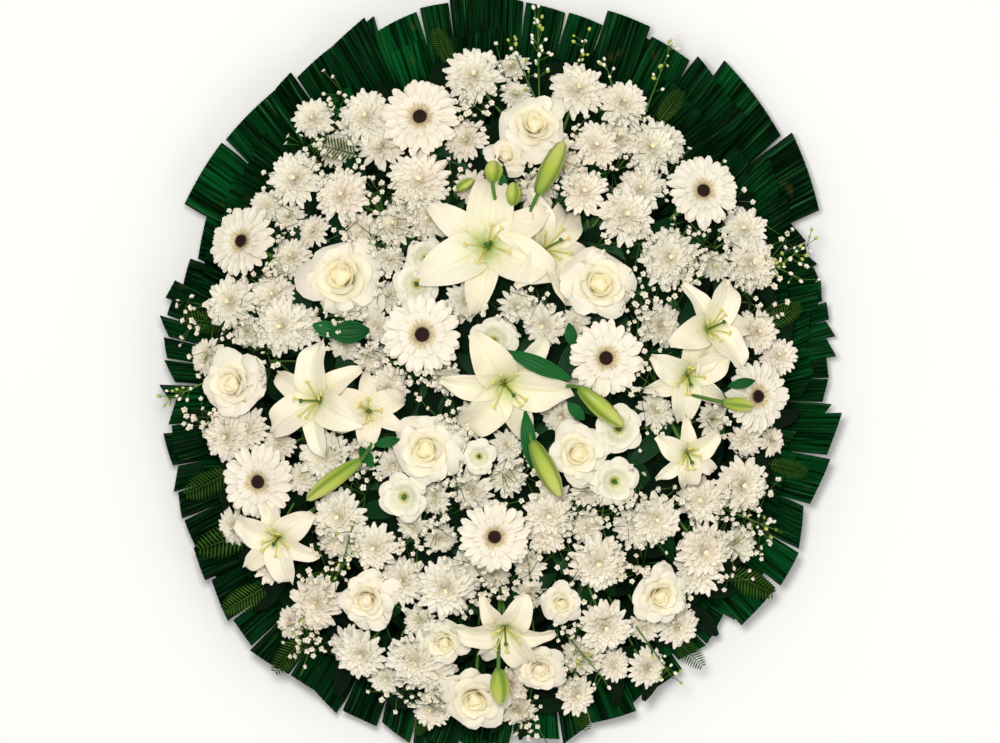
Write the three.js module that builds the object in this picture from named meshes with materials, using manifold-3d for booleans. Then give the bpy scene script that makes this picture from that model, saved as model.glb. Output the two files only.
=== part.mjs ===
// A funeral wreath lying on its back, in millimetres. X runs to its right as it is faced, Y to
// its top and Z out of its face, and Z = 0 is the surface it lies on.
// Two battens and two crossbars carry an oval board. Palm leaves are stapled round the rim of
// the board, blocks of floral foam lie on it, and every flower stem is pushed into the foam.
import * as THREE from 'three';
import { mergeVertices } from 'three/addons/utils/BufferGeometryUtils.js';
import Module from 'manifold-3d';

const wasm = await Module();
wasm.setup();
const { Manifold, Mesh: SolidMesh } = wasm;

const TURN = 2 * Math.PI;
const CLEARANCE = 0.3;
const STEM_SIDES = 5;
const FINENESS = 0.05;
const TAPER = 0.8;
const FORK_SHARE = 0.3;
const FORK_OVERLAP = 0.1;
const NECK = 16;
const SAME_POINT = 1e-4;

// Wooden support
const SLAT = { width: 44, thickness: 20 };
const BATTEN = { length: 640, offset: 160 };
const CROSSBAR_OFFSET = 190;
const BOARD = { halfWidth: 300, halfHeight: 346, thickness: 9, centreY: -12 };
const BOARD_BOTTOM = SLAT.thickness + CLEARANCE;
const BOARD_TOP = BOARD_BOTTOM + BOARD.thickness;

// Floral foam
const FOAM = { halfWidth: 262, halfHeight: 306, thickness: 80 };
const FOAM_BOTTOM = BOARD_TOP + CLEARANCE;
const FOAM_TOP = FOAM_BOTTOM + FOAM.thickness;
const PEG = { depth: 46, above: 9, drawIn: 0.66, splay: 0.86, clearance: 0.5 };

// The dome that the faces of the flowers lie on
const DOME = { halfWidth: 385, halfHeight: 435, centreY: -28, rim: 130, rise: 96 };

// How a lily bud lies over the dome, and how far its stem runs into it
const BUD = { lift: 34, tipRise: 4, heel: 3 };

// The leaves on the flower stems. They grow a share of the way from a branch's bend to its head,
// each at least apart degrees from the next. gap is how far they keep from heads and stems, and
// crossing how far two leaves are apart in height where one passes over the other.
const FOLIAGE = {
  length: 80,
  width: 27,
  thickness: 2.6,
  aboveBend: 0.15,
  directions: 12,
  perBranch: 3,
  apart: 75,
  gap: 3.5,
  crossing: 6,
};
// Where along a leaf the room for it is tested
const LEAF_SAMPLES = [0.25, 0.45, 0.65, 0.85, 1];
// The deepest underside of any head, as a share of its radius
const UNDERSIDE = 0.55;
// How far out a leaf has passed the rim of the foam, as a share of the foam's oval
const PAST_FOAM = 1.08;

// The collar of palm leaves, whose cut ends follow an oval
const COLLAR = {
  halfWidth: 434,
  halfHeight: 490,
  columns: 12,
  thickness: 1.6,
  pleat: 7,
  baseShare: 0.6,
  roundness: 0.03,
};
// How unevenly the leaves' ends are cut, along a leaf and from one leaf to the next
const NOTCH = { depth: 0.03, perColumn: 2.7, perLeaf: 1.9 };
const LEAF_BASE = { halfWidth: 266, halfHeight: 311 };
const BACK_LAYER = { height: 31.2, rise: 14 };
const FRONT_LAYER = { height: 37, rise: 31 };

const group = new THREE.Group();

function finish(color, roughness) {
  return new THREE.MeshStandardMaterial({ color, roughness, metalness: 0 });
}

const WOOD = finish(0xb99a6b, 0.8);
const PLYWOOD = finish(0xa98a5c, 0.85);
const FOAM_GREEN = finish(0x3d6b45, 0.95);
const LEAF_GREEN = finish(0x14532d, 0.5);
const GERBERA_WHITE = finish(0xf6f1e4, 0.6);
const LILY_CREAM = finish(0xf6efcf, 0.5);
const ROSE_WHITE = finish(0xf7f3e2, 0.55);
const LISIANTHUS_WHITE = finish(0xf4f2e4, 0.6);
const CHRYSANTHEMUM_WHITE = finish(0xf3f3ee, 0.65);

function add(name, geometry, material) {
  geometry.computeVertexNormals();
  const mesh = new THREE.Mesh(geometry, material);
  mesh.name = name;
  group.add(mesh);
  return mesh;
}

// ---- solids ---------------------------------------------------------------------------------

function toSolid(geometry) {
  geometry.deleteAttribute('normal');
  geometry.deleteAttribute('uv');
  const merged = mergeVertices(geometry, SAME_POINT);
  return new Manifold(new SolidMesh({
    numProp: 3,
    vertProperties: new Float32Array(merged.attributes.position.array),
    triVerts: new Uint32Array(merged.index.array),
  }));
}

function toGeometry(solid) {
  const mesh = solid.getMesh();
  const geometry = new THREE.BufferGeometry();
  geometry.setAttribute('position', new THREE.BufferAttribute(mesh.vertProperties, 3));
  geometry.setIndex(new THREE.BufferAttribute(mesh.triVerts, 1));
  return geometry;
}

function indexed(points, faces) {
  const geometry = new THREE.BufferGeometry();
  geometry.setAttribute('position', new THREE.Float32BufferAttribute(points, 3));
  geometry.setIndex(faces);
  return geometry;
}

// A straight rod between two points.
function rod(from, to, radius) {
  const axis = to.clone().sub(from);
  const geometry = new THREE.CylinderGeometry(radius, radius, axis.length(), STEM_SIDES);
  const turn = new THREE.Quaternion().setFromUnitVectors(
    new THREE.Vector3(0, 1, 0),
    axis.clone().normalize(),
  );
  geometry.applyQuaternion(turn);
  const middle = from.clone().lerp(to, 0.5);
  geometry.translate(middle.x, middle.y, middle.z);
  return toSolid(geometry);
}

// A bent stalk through a few points.
function stalk(points, radius) {
  const section = new THREE.Shape(
    Array.from({ length: STEM_SIDES }, (_, corner) => {
      const angle = (corner / STEM_SIDES) * TURN;
      return new THREE.Vector2(radius * Math.cos(angle), radius * Math.sin(angle));
    }),
  );
  return toSolid(new THREE.ExtrudeGeometry(section, {
    extrudePath: new THREE.CatmullRomCurve3(points),
    steps: points.length - 1,
    bevelEnabled: false,
  }));
}

// The corner that such a stalk has half way along.
function bendOf(points) {
  return new THREE.CatmullRomCurve3(points).getSpacedPoints(points.length - 1)[1];
}

// A closed body over a star-shaped outline. reach is the outline's radius at each side, and
// front and back are heights for a radius and a side. The two surfaces meet at the rim.
function starSolid({ sides, reach, frontShares, backShares, front, back }) {
  const points = [];
  const faces = [];
  const place = (share, side, height) => {
    const angle = (side / sides) * TURN;
    const radius = share * reach(side);
    points.push(radius * Math.cos(angle), radius * Math.sin(angle), height(radius, side));
    return points.length / 3 - 1;
  };
  const ring = (share, height) => (
    Array.from({ length: sides }, (_, side) => place(share, side, height))
  );
  const rim = ring(1, front);
  const cover = (shares, height, emit) => {
    const centre = place(0, 0, height);
    const rings = [...shares.map((share) => ring(share, height)), rim];
    for (let side = 0; side < sides; side += 1) {
      const next = (side + 1) % sides;
      emit(centre, rings[0][side], rings[0][next]);
      for (let level = 1; level < rings.length; level += 1) {
        const inner = rings[level - 1];
        const outer = rings[level];
        emit(inner[side], outer[side], outer[next]);
        emit(inner[side], outer[next], inner[next]);
      }
    }
  };
  cover(frontShares, front, (a, b, c) => faces.push(a, b, c));
  cover(backShares, back, (a, b, c) => faces.push(a, c, b));
  return toSolid(indexed(points, faces));
}

// ---- flower heads, facing +Z, with the rim near Z = 0 -----------------------------------------

function gerberaHead(radius) {
  const rays = 12;
  const eye = 0.26 * radius;
  return starSolid({
    sides: 2 * rays,
    reach: (side) => (side % 2 ? 0.9 * radius : radius),
    frontShares: [0.26],
    backShares: [0.3],
    front: (r) => (r > eye ? 0.08 * (r - eye) : 0.05 * radius),
    back: (r) => -0.38 * radius + 0.8 * r,
  });
}

function lilyHead(radius) {
  const notch = 0.32 * radius;
  const shoulder = 0.68 * radius;
  const outline = [notch, shoulder, radius, shoulder];
  const funnel = (r) => {
    const share = r / radius;
    return radius * (-0.45 + 1.35 * share - 0.95 * share * share);
  };
  return starSolid({
    sides: 24,
    reach: (side) => outline[side % 4],
    frontShares: [0.35, 0.7],
    backShares: [0.5],
    front: funnel,
    back: (r) => funnel(r) - 0.1 * radius * (1 - r / radius) - 1,
  });
}

function roseHead(radius) {
  const petals = 5;
  return starSolid({
    sides: 3 * petals,
    reach: (side) => (side % 3 ? radius : 0.88 * radius),
    frontShares: [0.34, 0.62],
    backShares: [0.55],
    front: (r) => radius * (0.3 + 0.12 * Math.cos((r / radius) * 9) - 0.3 * (r / radius) ** 3),
    back: (r) => radius * (-0.5 + 0.62 * (r / radius) ** 2),
  });
}

function lisianthusHead(radius) {
  const petals = 5;
  const bowl = (r) => radius * (-0.4 + 0.85 * (r / radius) - 0.2 * (r / radius) ** 2);
  return starSolid({
    sides: 3 * petals,
    reach: (side) => (side % 3 ? radius : 0.86 * radius),
    frontShares: [0.3, 0.7],
    backShares: [0.5],
    front: bowl,
    back: (r) => bowl(r) - 0.14 * radius * (1 - r / radius) - 1,
  });
}

function chrysanthemumHead(radius) {
  const points = 8;
  return starSolid({
    sides: 2 * points,
    reach: (side) => (side % 2 ? 0.8 * radius : radius),
    frontShares: [0.6],
    backShares: [],
    front: (r) => 0.36 * radius * (1 - (r / radius) ** 3),
    back: () => -0.3 * radius,
  });
}

const HEADS = {
  gerbera: gerberaHead,
  lily: lilyHead,
  rose: roseHead,
  lisianthus: lisianthusHead,
  chrysanthemum: chrysanthemumHead,
};

// How deep behind its rim a head meets its stem, as a share of its radius.
const HEEL = { gerbera: 0.3, lily: 0.46, rose: 0.42, lisianthus: 0.42, chrysanthemum: 0.22 };

// How far each kind stands out from the dome.
const LIFT = { gerbera: 12, lily: 24, rose: 4, lisianthus: 0, chrysanthemum: -8 };

// A closed lily bud, standing on the origin along +Z.
function lilyBud(length, radius) {
  const profile = [[0, 0], [0.55, 0.08], [1, 0.42], [0.85, 0.75], [0, 1]];
  const bud = new THREE.LatheGeometry(
    profile.map(([across, along]) => new THREE.Vector2(across * radius, along * length)),
    6,
  );
  bud.rotateX(TURN / 4);
  return toSolid(bud);
}

// ---- placing flowers ------------------------------------------------------------------------

function onDome(x, y, lift) {
  const across = x / DOME.halfWidth;
  const along = (y - DOME.centreY) / DOME.halfHeight;
  const height = DOME.rim + DOME.rise * (1 - across * across - along * along);
  return new THREE.Vector3(x, y, height + lift);
}

function domeFacing(x, y, lean) {
  return new THREE.Vector3(
    lean * 2 * DOME.rise * x / DOME.halfWidth ** 2,
    lean * 2 * DOME.rise * (y - DOME.centreY) / DOME.halfHeight ** 2,
    1,
  ).normalize();
}

function turnedTo(solid, place, facing) {
  const turn = new THREE.Quaternion().setFromUnitVectors(new THREE.Vector3(0, 0, 1), facing);
  const matrix = new THREE.Matrix4().compose(place, turn, new THREE.Vector3(1, 1, 1));
  return solid.transform(matrix.elements);
}

// at is the middle of the rim in X and Y. face, where given, is the head's own direction, and
// otherwise it leans with the dome, lean times as far.
function placedHead({ kind, at, radius, lift = 0, lean = 0.8, face }) {
  const place = onDome(at[0], at[1], LIFT[kind] + lift);
  const facing = face
    ? new THREE.Vector3(face[0], face[1], 1).normalize()
    : domeFacing(at[0], at[1], lean);
  return {
    solid: turnedTo(HEADS[kind](radius), place, facing),
    heel: place.clone().addScaledVector(facing, -HEEL[kind] * radius),
    place,
    facing,
    radius,
  };
}

// A bud lies along the face of the wreath, from its foot to its tip.
function placedBud({ foot, tip, radius }) {
  const from = onDome(foot[0], foot[1], BUD.lift);
  const to = onDome(tip[0], tip[1], BUD.lift + BUD.tipRise);
  const axis = to.clone().sub(from);
  const length = axis.length();
  axis.normalize();
  return {
    solid: turnedTo(lilyBud(length, radius), from, axis),
    heel: from.clone().addScaledVector(axis, BUD.heel),
    place: to,
    facing: axis,
    radius,
  };
}

const stemHoles = [];

// The straight end of a stem, pushed into the foam at (x, y) on the foam's face.
function pegAt(x, y, radius) {
  const top = new THREE.Vector3(x, y, FOAM_TOP + PEG.above);
  const bottom = new THREE.Vector3(PEG.splay * x, PEG.splay * y, FOAM_TOP - PEG.depth);
  const down = bottom.clone().sub(top).normalize();
  const past = bottom.clone().addScaledVector(down, PEG.clearance);
  stemHoles.push(rod(past, top, radius + PEG.clearance));
  return { solid: rod(bottom, top, radius), start: top.clone().addScaledVector(down, radius) };
}

const plants = [];

// Sets out one plant: a stem in the foam, and the heads and buds on its branches. Each length of
// stem starts inside the thicker one before it.
function addPlant(name, material, { heads, buds = [], stem = 3 }) {
  const parts = [
    ...heads.map(placedHead),
    ...buds.map(placedBud),
  ];
  const middle = new THREE.Vector3();
  parts.forEach((part) => middle.addScaledVector(part.heel, 1 / parts.length));
  const peg = pegAt(PEG.drawIn * middle.x, PEG.drawIn * middle.y, stem);
  let { solid, start } = peg;
  let thickness = TAPER * stem;
  if (parts.length > 1) {
    const fork = start.clone().lerp(middle, FORK_SHARE);
    solid = solid.add(rod(start, fork, thickness));
    start = fork.lerp(start, FORK_OVERLAP);
    thickness *= TAPER;
  }
  const branches = parts.map((part) => {
    const neck = part.heel.clone().addScaledVector(part.facing, -NECK);
    const route = [start, neck, part.heel];
    solid = solid.add(stalk(route, thickness)).add(part.solid);
    return { ...part, start, bend: bendOf(route), thickness };
  });
  plants.push({ name, material, solid, branches });
}

// ---- the leaves on the stems ----------------------------------------------------------------

// A flat leaf with a raised middle, from the origin along +X. Its sections are diamonds, given by
// how far along they are, half their width and their thickness, as shares of the leaf's own.
function stemLeaf() {
  const { length, width, thickness } = FOLIAGE;
  const sections = [[0, 0.045, 1], [0.3, 0.5, 1], [0.68, 0.42, 0.7]];
  const corners = 4;
  const points = sections.flatMap(([along, across, thick]) => {
    const x = along * length;
    const y = across * width;
    const z = (thick * thickness) / 2;
    return [x, y, 0, x, 0, z, x, -y, 0, x, 0, -z];
  });
  points.push(length, 0, 0);
  const tip = corners * sections.length;
  const faces = [0, 3, 2, 0, 2, 1];
  for (let section = 0; section < sections.length; section += 1) {
    for (let corner = 0; corner < corners; corner += 1) {
      const a = corners * section + corner;
      const b = corners * section + ((corner + 1) % corners);
      if (section === sections.length - 1) faces.push(a, b, tip);
      else faces.push(a, b, b + corners, a, b + corners, a + corners);
    }
  }
  return toSolid(indexed(points, faces));
}

// A leaf lies along the dome, so its axis falls as the dome does.
function leafFrom(branch, angle) {
  const base = branch.bend.clone().lerp(branch.heel, FOLIAGE.aboveBend);
  const axis = new THREE.Vector3(Math.cos(angle), Math.sin(angle), 0);
  axis.multiplyScalar(FOLIAGE.length);
  axis.z = onDome(base.x + axis.x, base.y + axis.y, 0).z - onDome(base.x, base.y, 0).z;
  return { base, axis, angle };
}

function placedLeaf({ base, axis }) {
  const along = axis.clone().normalize();
  const across = new THREE.Vector3(-axis.y, axis.x, 0).normalize();
  const up = along.clone().cross(across);
  const matrix = new THREE.Matrix4().makeBasis(along, across, up).setPosition(base);
  return stemLeaf().transform(matrix.elements);
}

function samplesOf(leaf) {
  return LEAF_SAMPLES.map((share) => leaf.base.clone().addScaledVector(leaf.axis, share));
}

function aboveFoam(point) {
  const across = point.x / FOAM.halfWidth;
  const along = (point.y - BOARD.centreY) / FOAM.halfHeight;
  return Math.hypot(across, along) > PAST_FOAM || point.z > FOAM_TOP + FOLIAGE.gap;
}

function clearOfBranch(point, { start, bend, heel, place, facing, radius, thickness }) {
  const nearest = new THREE.Vector3();
  const stemRoom = FOLIAGE.width / 2 + thickness + FOLIAGE.gap;
  for (const line of [new THREE.Line3(start, bend), new THREE.Line3(bend, heel)]) {
    if (line.closestPointToPoint(point, true, nearest).distanceTo(point) < stemRoom) return false;
  }
  const offset = point.clone().sub(place);
  const along = offset.dot(facing);
  const across = Math.sqrt(Math.max(offset.lengthSq() - along * along, 0));
  const share = Math.min(across / radius, 1);
  const beneath = -UNDERSIDE * radius * (1 - share * share) - FOLIAGE.gap;
  return across > radius + FOLIAGE.width / 2 || along < beneath;
}

function clearOfLeaf(point, other) {
  return samplesOf(other).every((taken) => (
    Math.hypot(point.x - taken.x, point.y - taken.y) > FOLIAGE.width
    || Math.abs(point.z - taken.z) > FOLIAGE.crossing
  ));
}

// The leaves that one branch has room for, tried from the outward side round to the inward one.
function leavesOf(branch, branches, taken) {
  const outward = Math.atan2(branch.heel.y - DOME.centreY, branch.heel.x);
  const nearest = Math.cos(THREE.MathUtils.degToRad(FOLIAGE.apart));
  const own = [];
  for (let step = 0; step < FOLIAGE.directions; step += 1) {
    const turn = Math.ceil(step / 2) * (step % 2 ? 1 : -1) * (TURN / FOLIAGE.directions);
    const leaf = leafFrom(branch, outward + turn);
    const isApart = own.every((mate) => Math.cos(mate.angle - leaf.angle) < nearest);
    const isClear = samplesOf(leaf).every((point) => (
      aboveFoam(point)
      && branches.every((other) => other === branch || clearOfBranch(point, other))
      && [...taken, ...own].every((other) => clearOfLeaf(point, other))
    ));
    if (own.length < FOLIAGE.perBranch && isApart && isClear) own.push(leaf);
  }
  return own;
}

// Gives every branch its leaves, then adds each plant as one closed body.
function addLeafyPlants() {
  const branches = plants.flatMap((plant) => plant.branches);
  const leaves = [];
  for (const plant of plants) {
    let { solid } = plant;
    for (const branch of plant.branches) {
      const own = leavesOf(branch, branches, leaves);
      leaves.push(...own);
      own.forEach((leaf) => {
        solid = solid.add(placedLeaf(leaf));
      });
    }
    add(plant.name, toGeometry(solid.simplify(FINENESS)), plant.material);
  }
}

// ---- the support ----------------------------------------------------------------------------

function ovalShape(halfWidth, halfHeight, centreY, corners) {
  return new THREE.Shape(
    Array.from({ length: corners }, (_, corner) => {
      const angle = (corner / corners) * TURN;
      return new THREE.Vector2(
        halfWidth * Math.cos(angle),
        centreY + halfHeight * Math.sin(angle),
      );
    }),
  );
}

function addSupport() {
  for (const [name, side] of [['batten_left', -1], ['batten_right', 1]]) {
    const batten = new THREE.BoxGeometry(SLAT.width, BATTEN.length, SLAT.thickness);
    const mesh = add(name, batten, WOOD);
    mesh.position.set(side * BATTEN.offset, BOARD.centreY, SLAT.thickness / 2);
  }
  const span = 2 * BATTEN.offset - SLAT.width - 2 * CLEARANCE;
  for (const [name, side] of [['crossbar_upper', 1], ['crossbar_lower', -1]]) {
    const mesh = add(name, new THREE.BoxGeometry(span, SLAT.width, SLAT.thickness), WOOD);
    mesh.position.set(0, BOARD.centreY + side * CROSSBAR_OFFSET, SLAT.thickness / 2);
  }
  const oval = ovalShape(BOARD.halfWidth, BOARD.halfHeight, BOARD.centreY, 48);
  const board = new THREE.ExtrudeGeometry(oval, { depth: BOARD.thickness, bevelEnabled: false });
  add('backing_board', board, PLYWOOD).position.z = BOARD_BOTTOM;
}

// The foam is four blocks, cut round to the oval, with a hole where each stem goes in.
function addFoam() {
  const oval = ovalShape(FOAM.halfWidth, FOAM.halfHeight, BOARD.centreY, 48);
  const whole = toSolid(new THREE.ExtrudeGeometry(oval, {
    depth: FOAM.thickness,
    bevelEnabled: false,
  })).translate([0, 0, FOAM_BOTTOM]);
  const holes = Manifold.union(stemHoles);
  const quarters = [
    ['foam_upper_left', -1, 1],
    ['foam_upper_right', 1, 1],
    ['foam_lower_left', -1, -1],
    ['foam_lower_right', 1, -1],
  ];
  const margin = 10;
  const reach = FOAM.halfHeight + margin;
  for (const [name, sideX, sideY] of quarters) {
    const quarter = Manifold.cube([reach, reach, FOAM_TOP + margin], true).translate([
      sideX * (reach + CLEARANCE) / 2,
      BOARD.centreY + sideY * (reach + CLEARANCE) / 2,
      FOAM_TOP / 2,
    ]);
    add(name, toGeometry(whole.intersect(quarter).subtract(holes)), FOAM_GREEN);
  }
}

// ---- the collar -----------------------------------------------------------------------------

function ovalRadius(angle, halfWidth, halfHeight) {
  return 1 / Math.hypot(Math.cos(angle) / halfWidth, Math.sin(angle) / halfHeight);
}

// A pleated piece of palm leaf. It spreads from the rim of the board to a jagged cut end, and
// its pleats deepen outwards. The two layers alternate, so neighbours overlap without touching.
function palmLeaf({ middle, half, reach }, index) {
  const layer = index % 2 ? FRONT_LAYER : BACK_LAYER;
  const { columns } = COLLAR;
  const rows = [0, 0.5, 1];
  const points = [];
  const faces = [];
  for (const side of [0.5, -0.5]) {
    for (const row of rows) {
      for (let column = 0; column < columns; column += 1) {
        const across = (2 * column) / (columns - 1) - 1;
        const spread = COLLAR.baseShare + (1 - COLLAR.baseShare) * row;
        const angle = THREE.MathUtils.degToRad(middle + across * half * spread);
        const inner = ovalRadius(angle, LEAF_BASE.halfWidth, LEAF_BASE.halfHeight);
        const phase = NOTCH.perColumn * column + NOTCH.perLeaf * index;
        const notch = NOTCH.depth * (1 - Math.sin(phase));
        const cut = 1 - notch - COLLAR.roundness * across * across;
        const outer = cut * reach * ovalRadius(angle, COLLAR.halfWidth, COLLAR.halfHeight);
        const radius = inner + (outer - inner) * row;
        const fold = (column % 2 ? 1 : -1) * COLLAR.pleat * row;
        points.push(
          radius * Math.cos(angle),
          radius * Math.sin(angle) + (1 - row) * BOARD.centreY,
          layer.height + layer.rise * row + fold + side * COLLAR.thickness,
        );
      }
    }
  }
  const perSide = rows.length * columns;
  const quad = (a, b, c, d) => faces.push(a, b, c, a, c, d);
  for (let row = 0; row < rows.length - 1; row += 1) {
    for (let column = 0; column < columns - 1; column += 1) {
      const a = row * columns + column;
      const b = a + columns;
      quad(a, b, b + 1, a + 1);
      quad(perSide + a, perSide + a + 1, perSide + b + 1, perSide + b);
    }
    for (const column of [0, columns - 1]) {
      const a = row * columns + column;
      const b = a + columns;
      const edge = column ? [a, b, perSide + b, perSide + a] : [a, perSide + a, perSide + b, b];
      quad(...edge);
    }
  }
  for (let column = 0; column < columns - 1; column += 1) {
    const inner = column;
    const outer = perSide - columns + column;
    quad(inner, inner + 1, perSide + inner + 1, perSide + inner);
    quad(outer, perSide + outer, perSide + outer + 1, outer + 1);
  }
  return indexed(points, faces);
}

// Each leaf's middle and half spread in degrees about the wreath's centre, from +X, and its
// reach as a share of the collar's oval.
const LEAVES = [
  { middle: 5, half: 15, reach: 1.006 },
  { middle: 26, half: 14, reach: 0.99 },
  { middle: 42, half: 13, reach: 1.1 },
  { middle: 61, half: 14, reach: 1.03 },
  { middle: 81, half: 14, reach: 1.0 },
  { middle: 102, half: 14, reach: 1.0 },
  { middle: 122, half: 14, reach: 1.01 },
  { middle: 138, half: 13, reach: 1.07 },
  { middle: 158, half: 15, reach: 0.98 },
  { middle: 181, half: 16, reach: 1.0 },
  { middle: 205, half: 16, reach: 0.99 },
  { middle: 228, half: 16, reach: 1.0 },
  { middle: 252, half: 16, reach: 1.02 },
  { middle: 278, half: 17, reach: 1.0 },
  { middle: 305, half: 17, reach: 0.97 },
  { middle: 333, half: 17, reach: 1.02 },
];

function addCollar() {
  LEAVES.forEach((leaf, index) => {
    add(`palm_leaf_${index + 1}`, palmLeaf(leaf, index), LEAF_GREEN);
  });
}

// ---- the flowers ----------------------------------------------------------------------------

const GERBERAS = [
  { at: [-99, 328], radius: 52 },
  { at: [-329, 168], radius: 49, lean: 1.5 },
  { at: [-95, 47], radius: 53 },
  { at: [139, 17], radius: 50 },
  { at: [266, 233], radius: 48 },
  { at: [-307, -142], radius: 50 },
  { at: [-3, -211], radius: 47 },
  { at: [335, -32], radius: 48, lean: 1.4 },
];

// Each lily stem carries one to three open flowers and a few buds.
const LILIES = [
  {
    heads: [
      { at: [-12, 164], radius: 84, face: [0, 0.1] },
      { at: [72, 162], radius: 70, face: [0.55, 0.25], lift: -26 },
    ],
    buds: [
      { foot: [-6, 242], tip: [-4, 270], radius: 12 },
      { foot: [52, 226], tip: [86, 296], radius: 13 },
    ],
  },
  {
    heads: [
      { at: [-240, -36], radius: 66, face: [-0.55, 0.05] },
      { at: [-164, -49], radius: 46, face: [0.1, 0.1], lift: -18 },
    ],
    buds: [{ foot: [-173, -113], tip: [-244, -165], radius: 11 }],
  },
  {
    heads: [{ at: [14, -24], radius: 74, face: [0.2, -0.35] }],
    buds: [
      { foot: [104, -20], tip: [161, -70], radius: 12 },
      { foot: [44, -88], tip: [81, -160], radius: 13 },
    ],
  },
  {
    heads: [
      { at: [283, 58], radius: 60, face: [0.6, 0.2] },
      { at: [247, -10], radius: 54, face: [0.1, -0.3], lift: -14 },
      { at: [247, -110], radius: 44, face: [0.2, -0.4] },
    ],
    buds: [{ foot: [289, -39], tip: [330, -45], radius: 9 }],
  },
  {
    heads: [{ at: [10, -342], radius: 58, face: [0, -0.8] }],
    buds: [{ foot: [2, -382], tip: [4, -428], radius: 13 }],
  },
  { heads: [{ at: [-286, -220], radius: 54, face: [-0.2, -0.3] }] },
];

const ROSES = [
  { at: [49, 318], radius: 44 },
  { at: [-199, 122], radius: 53 },
  { at: [131, 112], radius: 46 },
  { at: [-342, -16], radius: 42 },
  { at: [-91, -100], radius: 44 },
  { at: [104, -105], radius: 38 },
  { at: [-168, -295], radius: 38 },
  { at: [-29, -425], radius: 42 },
  { at: [211, -290], radius: 36 },
];

const LISIANTHUS = [
  [{ at: [-120, -162], radius: 30 }],
  [{ at: [152, -142], radius: 30 }],
];

const CHRYSANTHEMUMS = [
  [
    { at: [-262, 250], radius: 37 },
    { at: [-200, 228], radius: 37 },
    { at: [-170, 330], radius: 38 },
    { at: [-100, 246], radius: 42 },
  ],
  [
    { at: [-30, 384], radius: 40 },
    { at: [104, 366], radius: 38 },
    { at: [164, 348], radius: 34 },
    { at: [128, 292], radius: 32 },
  ],
  [
    { at: [200, 290], radius: 38 },
    { at: [166, 202], radius: 40 },
    { at: [112, 232], radius: 32 },
  ],
  [{ at: [222, 146], radius: 40 }, { at: [330, 140], radius: 38 }],
  [{ at: [-346, 90], radius: 36 }, { at: [-278, 58], radius: 38 }],
  [{ at: [-350, -84], radius: 35 }, { at: [-222, -108], radius: 35 }],
  [
    { at: [-204, -186], radius: 36 },
    { at: [-158, -226], radius: 32 },
    { at: [-234, -300], radius: 38 },
  ],
  [
    { at: [-66, -280], radius: 40 },
    { at: [-106, -374], radius: 38 },
    { at: [-176, -366], radius: 34 },
  ],
  [
    { at: [130, -246], radius: 38 },
    { at: [140, -330], radius: 36 },
    { at: [66, -184], radius: 34 },
  ],
  [
    { at: [268, -232], radius: 38 },
    { at: [317, -147], radius: 38 },
    { at: [204, -190], radius: 35 },
  ],
];

function addFlowers() {
  GERBERAS.forEach((head, index) => {
    addPlant(`gerbera_${index + 1}`, GERBERA_WHITE, {
      heads: [{ kind: 'gerbera', ...head }],
      stem: 3.5,
    });
  });
  LILIES.forEach(({ heads, buds }, index) => {
    addPlant(`lily_stem_${index + 1}`, LILY_CREAM, {
      heads: heads.map((head) => ({ kind: 'lily', ...head })),
      buds,
      stem: 4,
    });
  });
  ROSES.forEach((head, index) => {
    addPlant(`rose_${index + 1}`, ROSE_WHITE, {
      heads: [{ kind: 'rose', ...head }],
      stem: 3.5,
    });
  });
  LISIANTHUS.forEach((heads, index) => {
    addPlant(`lisianthus_${index + 1}`, LISIANTHUS_WHITE, {
      heads: heads.map((head) => ({ kind: 'lisianthus', ...head })),
    });
  });
  CHRYSANTHEMUMS.forEach((heads, index) => {
    addPlant(`chrysanthemum_spray_${index + 1}`, CHRYSANTHEMUM_WHITE, {
      heads: heads.map((head) => ({ kind: 'chrysanthemum', ...head })),
    });
  });
}

addSupport();
addFlowers();
addLeafyPlants();
addFoam();
addCollar();

export default group;
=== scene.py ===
"""Dresses the funeral wreath: petals, leaves, filler flowers and materials round the CAD frame."""
import math

import bpy
import numpy as np
from mathutils import Matrix, Vector
from mathutils.geometry import intersect_point_line


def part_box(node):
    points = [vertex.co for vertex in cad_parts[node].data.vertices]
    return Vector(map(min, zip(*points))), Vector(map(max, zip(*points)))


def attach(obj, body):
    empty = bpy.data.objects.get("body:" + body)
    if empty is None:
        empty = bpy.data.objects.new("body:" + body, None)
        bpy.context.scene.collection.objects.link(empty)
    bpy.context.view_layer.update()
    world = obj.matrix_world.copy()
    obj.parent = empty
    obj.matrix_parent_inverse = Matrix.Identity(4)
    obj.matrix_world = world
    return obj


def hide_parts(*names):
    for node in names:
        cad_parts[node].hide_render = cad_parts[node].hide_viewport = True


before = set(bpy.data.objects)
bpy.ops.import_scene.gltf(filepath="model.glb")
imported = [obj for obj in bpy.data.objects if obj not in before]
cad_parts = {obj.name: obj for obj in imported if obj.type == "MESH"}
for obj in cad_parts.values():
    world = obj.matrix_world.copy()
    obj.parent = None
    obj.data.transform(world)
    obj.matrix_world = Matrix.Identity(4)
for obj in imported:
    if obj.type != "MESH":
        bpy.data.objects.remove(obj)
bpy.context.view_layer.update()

MM = 0.001
TURN = 2 * math.pi
GOLDEN_ANGLE = TURN * (2 - (1 + 5 ** 0.5) / 2)
PETAL_THICKNESS = 0.5 * MM
AS_MADE = np.eye(4)

# The dome that the faces of the flowers lie on, in millimetres
DOME_HALF_WIDTH = 385
DOME_HALF_HEIGHT = 435
DOME_CENTRE_Y = -28
DOME_RIM = 130
DOME_RISE = 96

# The floral foam, and the point behind a head where its stem turns to meet it
FOAM_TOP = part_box("foam_upper_left")[1].z
FOAM_HALF_WIDTH = 262 * MM
FOAM_HALF_HEIGHT = 306 * MM
FOAM_CENTRE_Y = -12 * MM
NECK = 16 * MM

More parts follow.
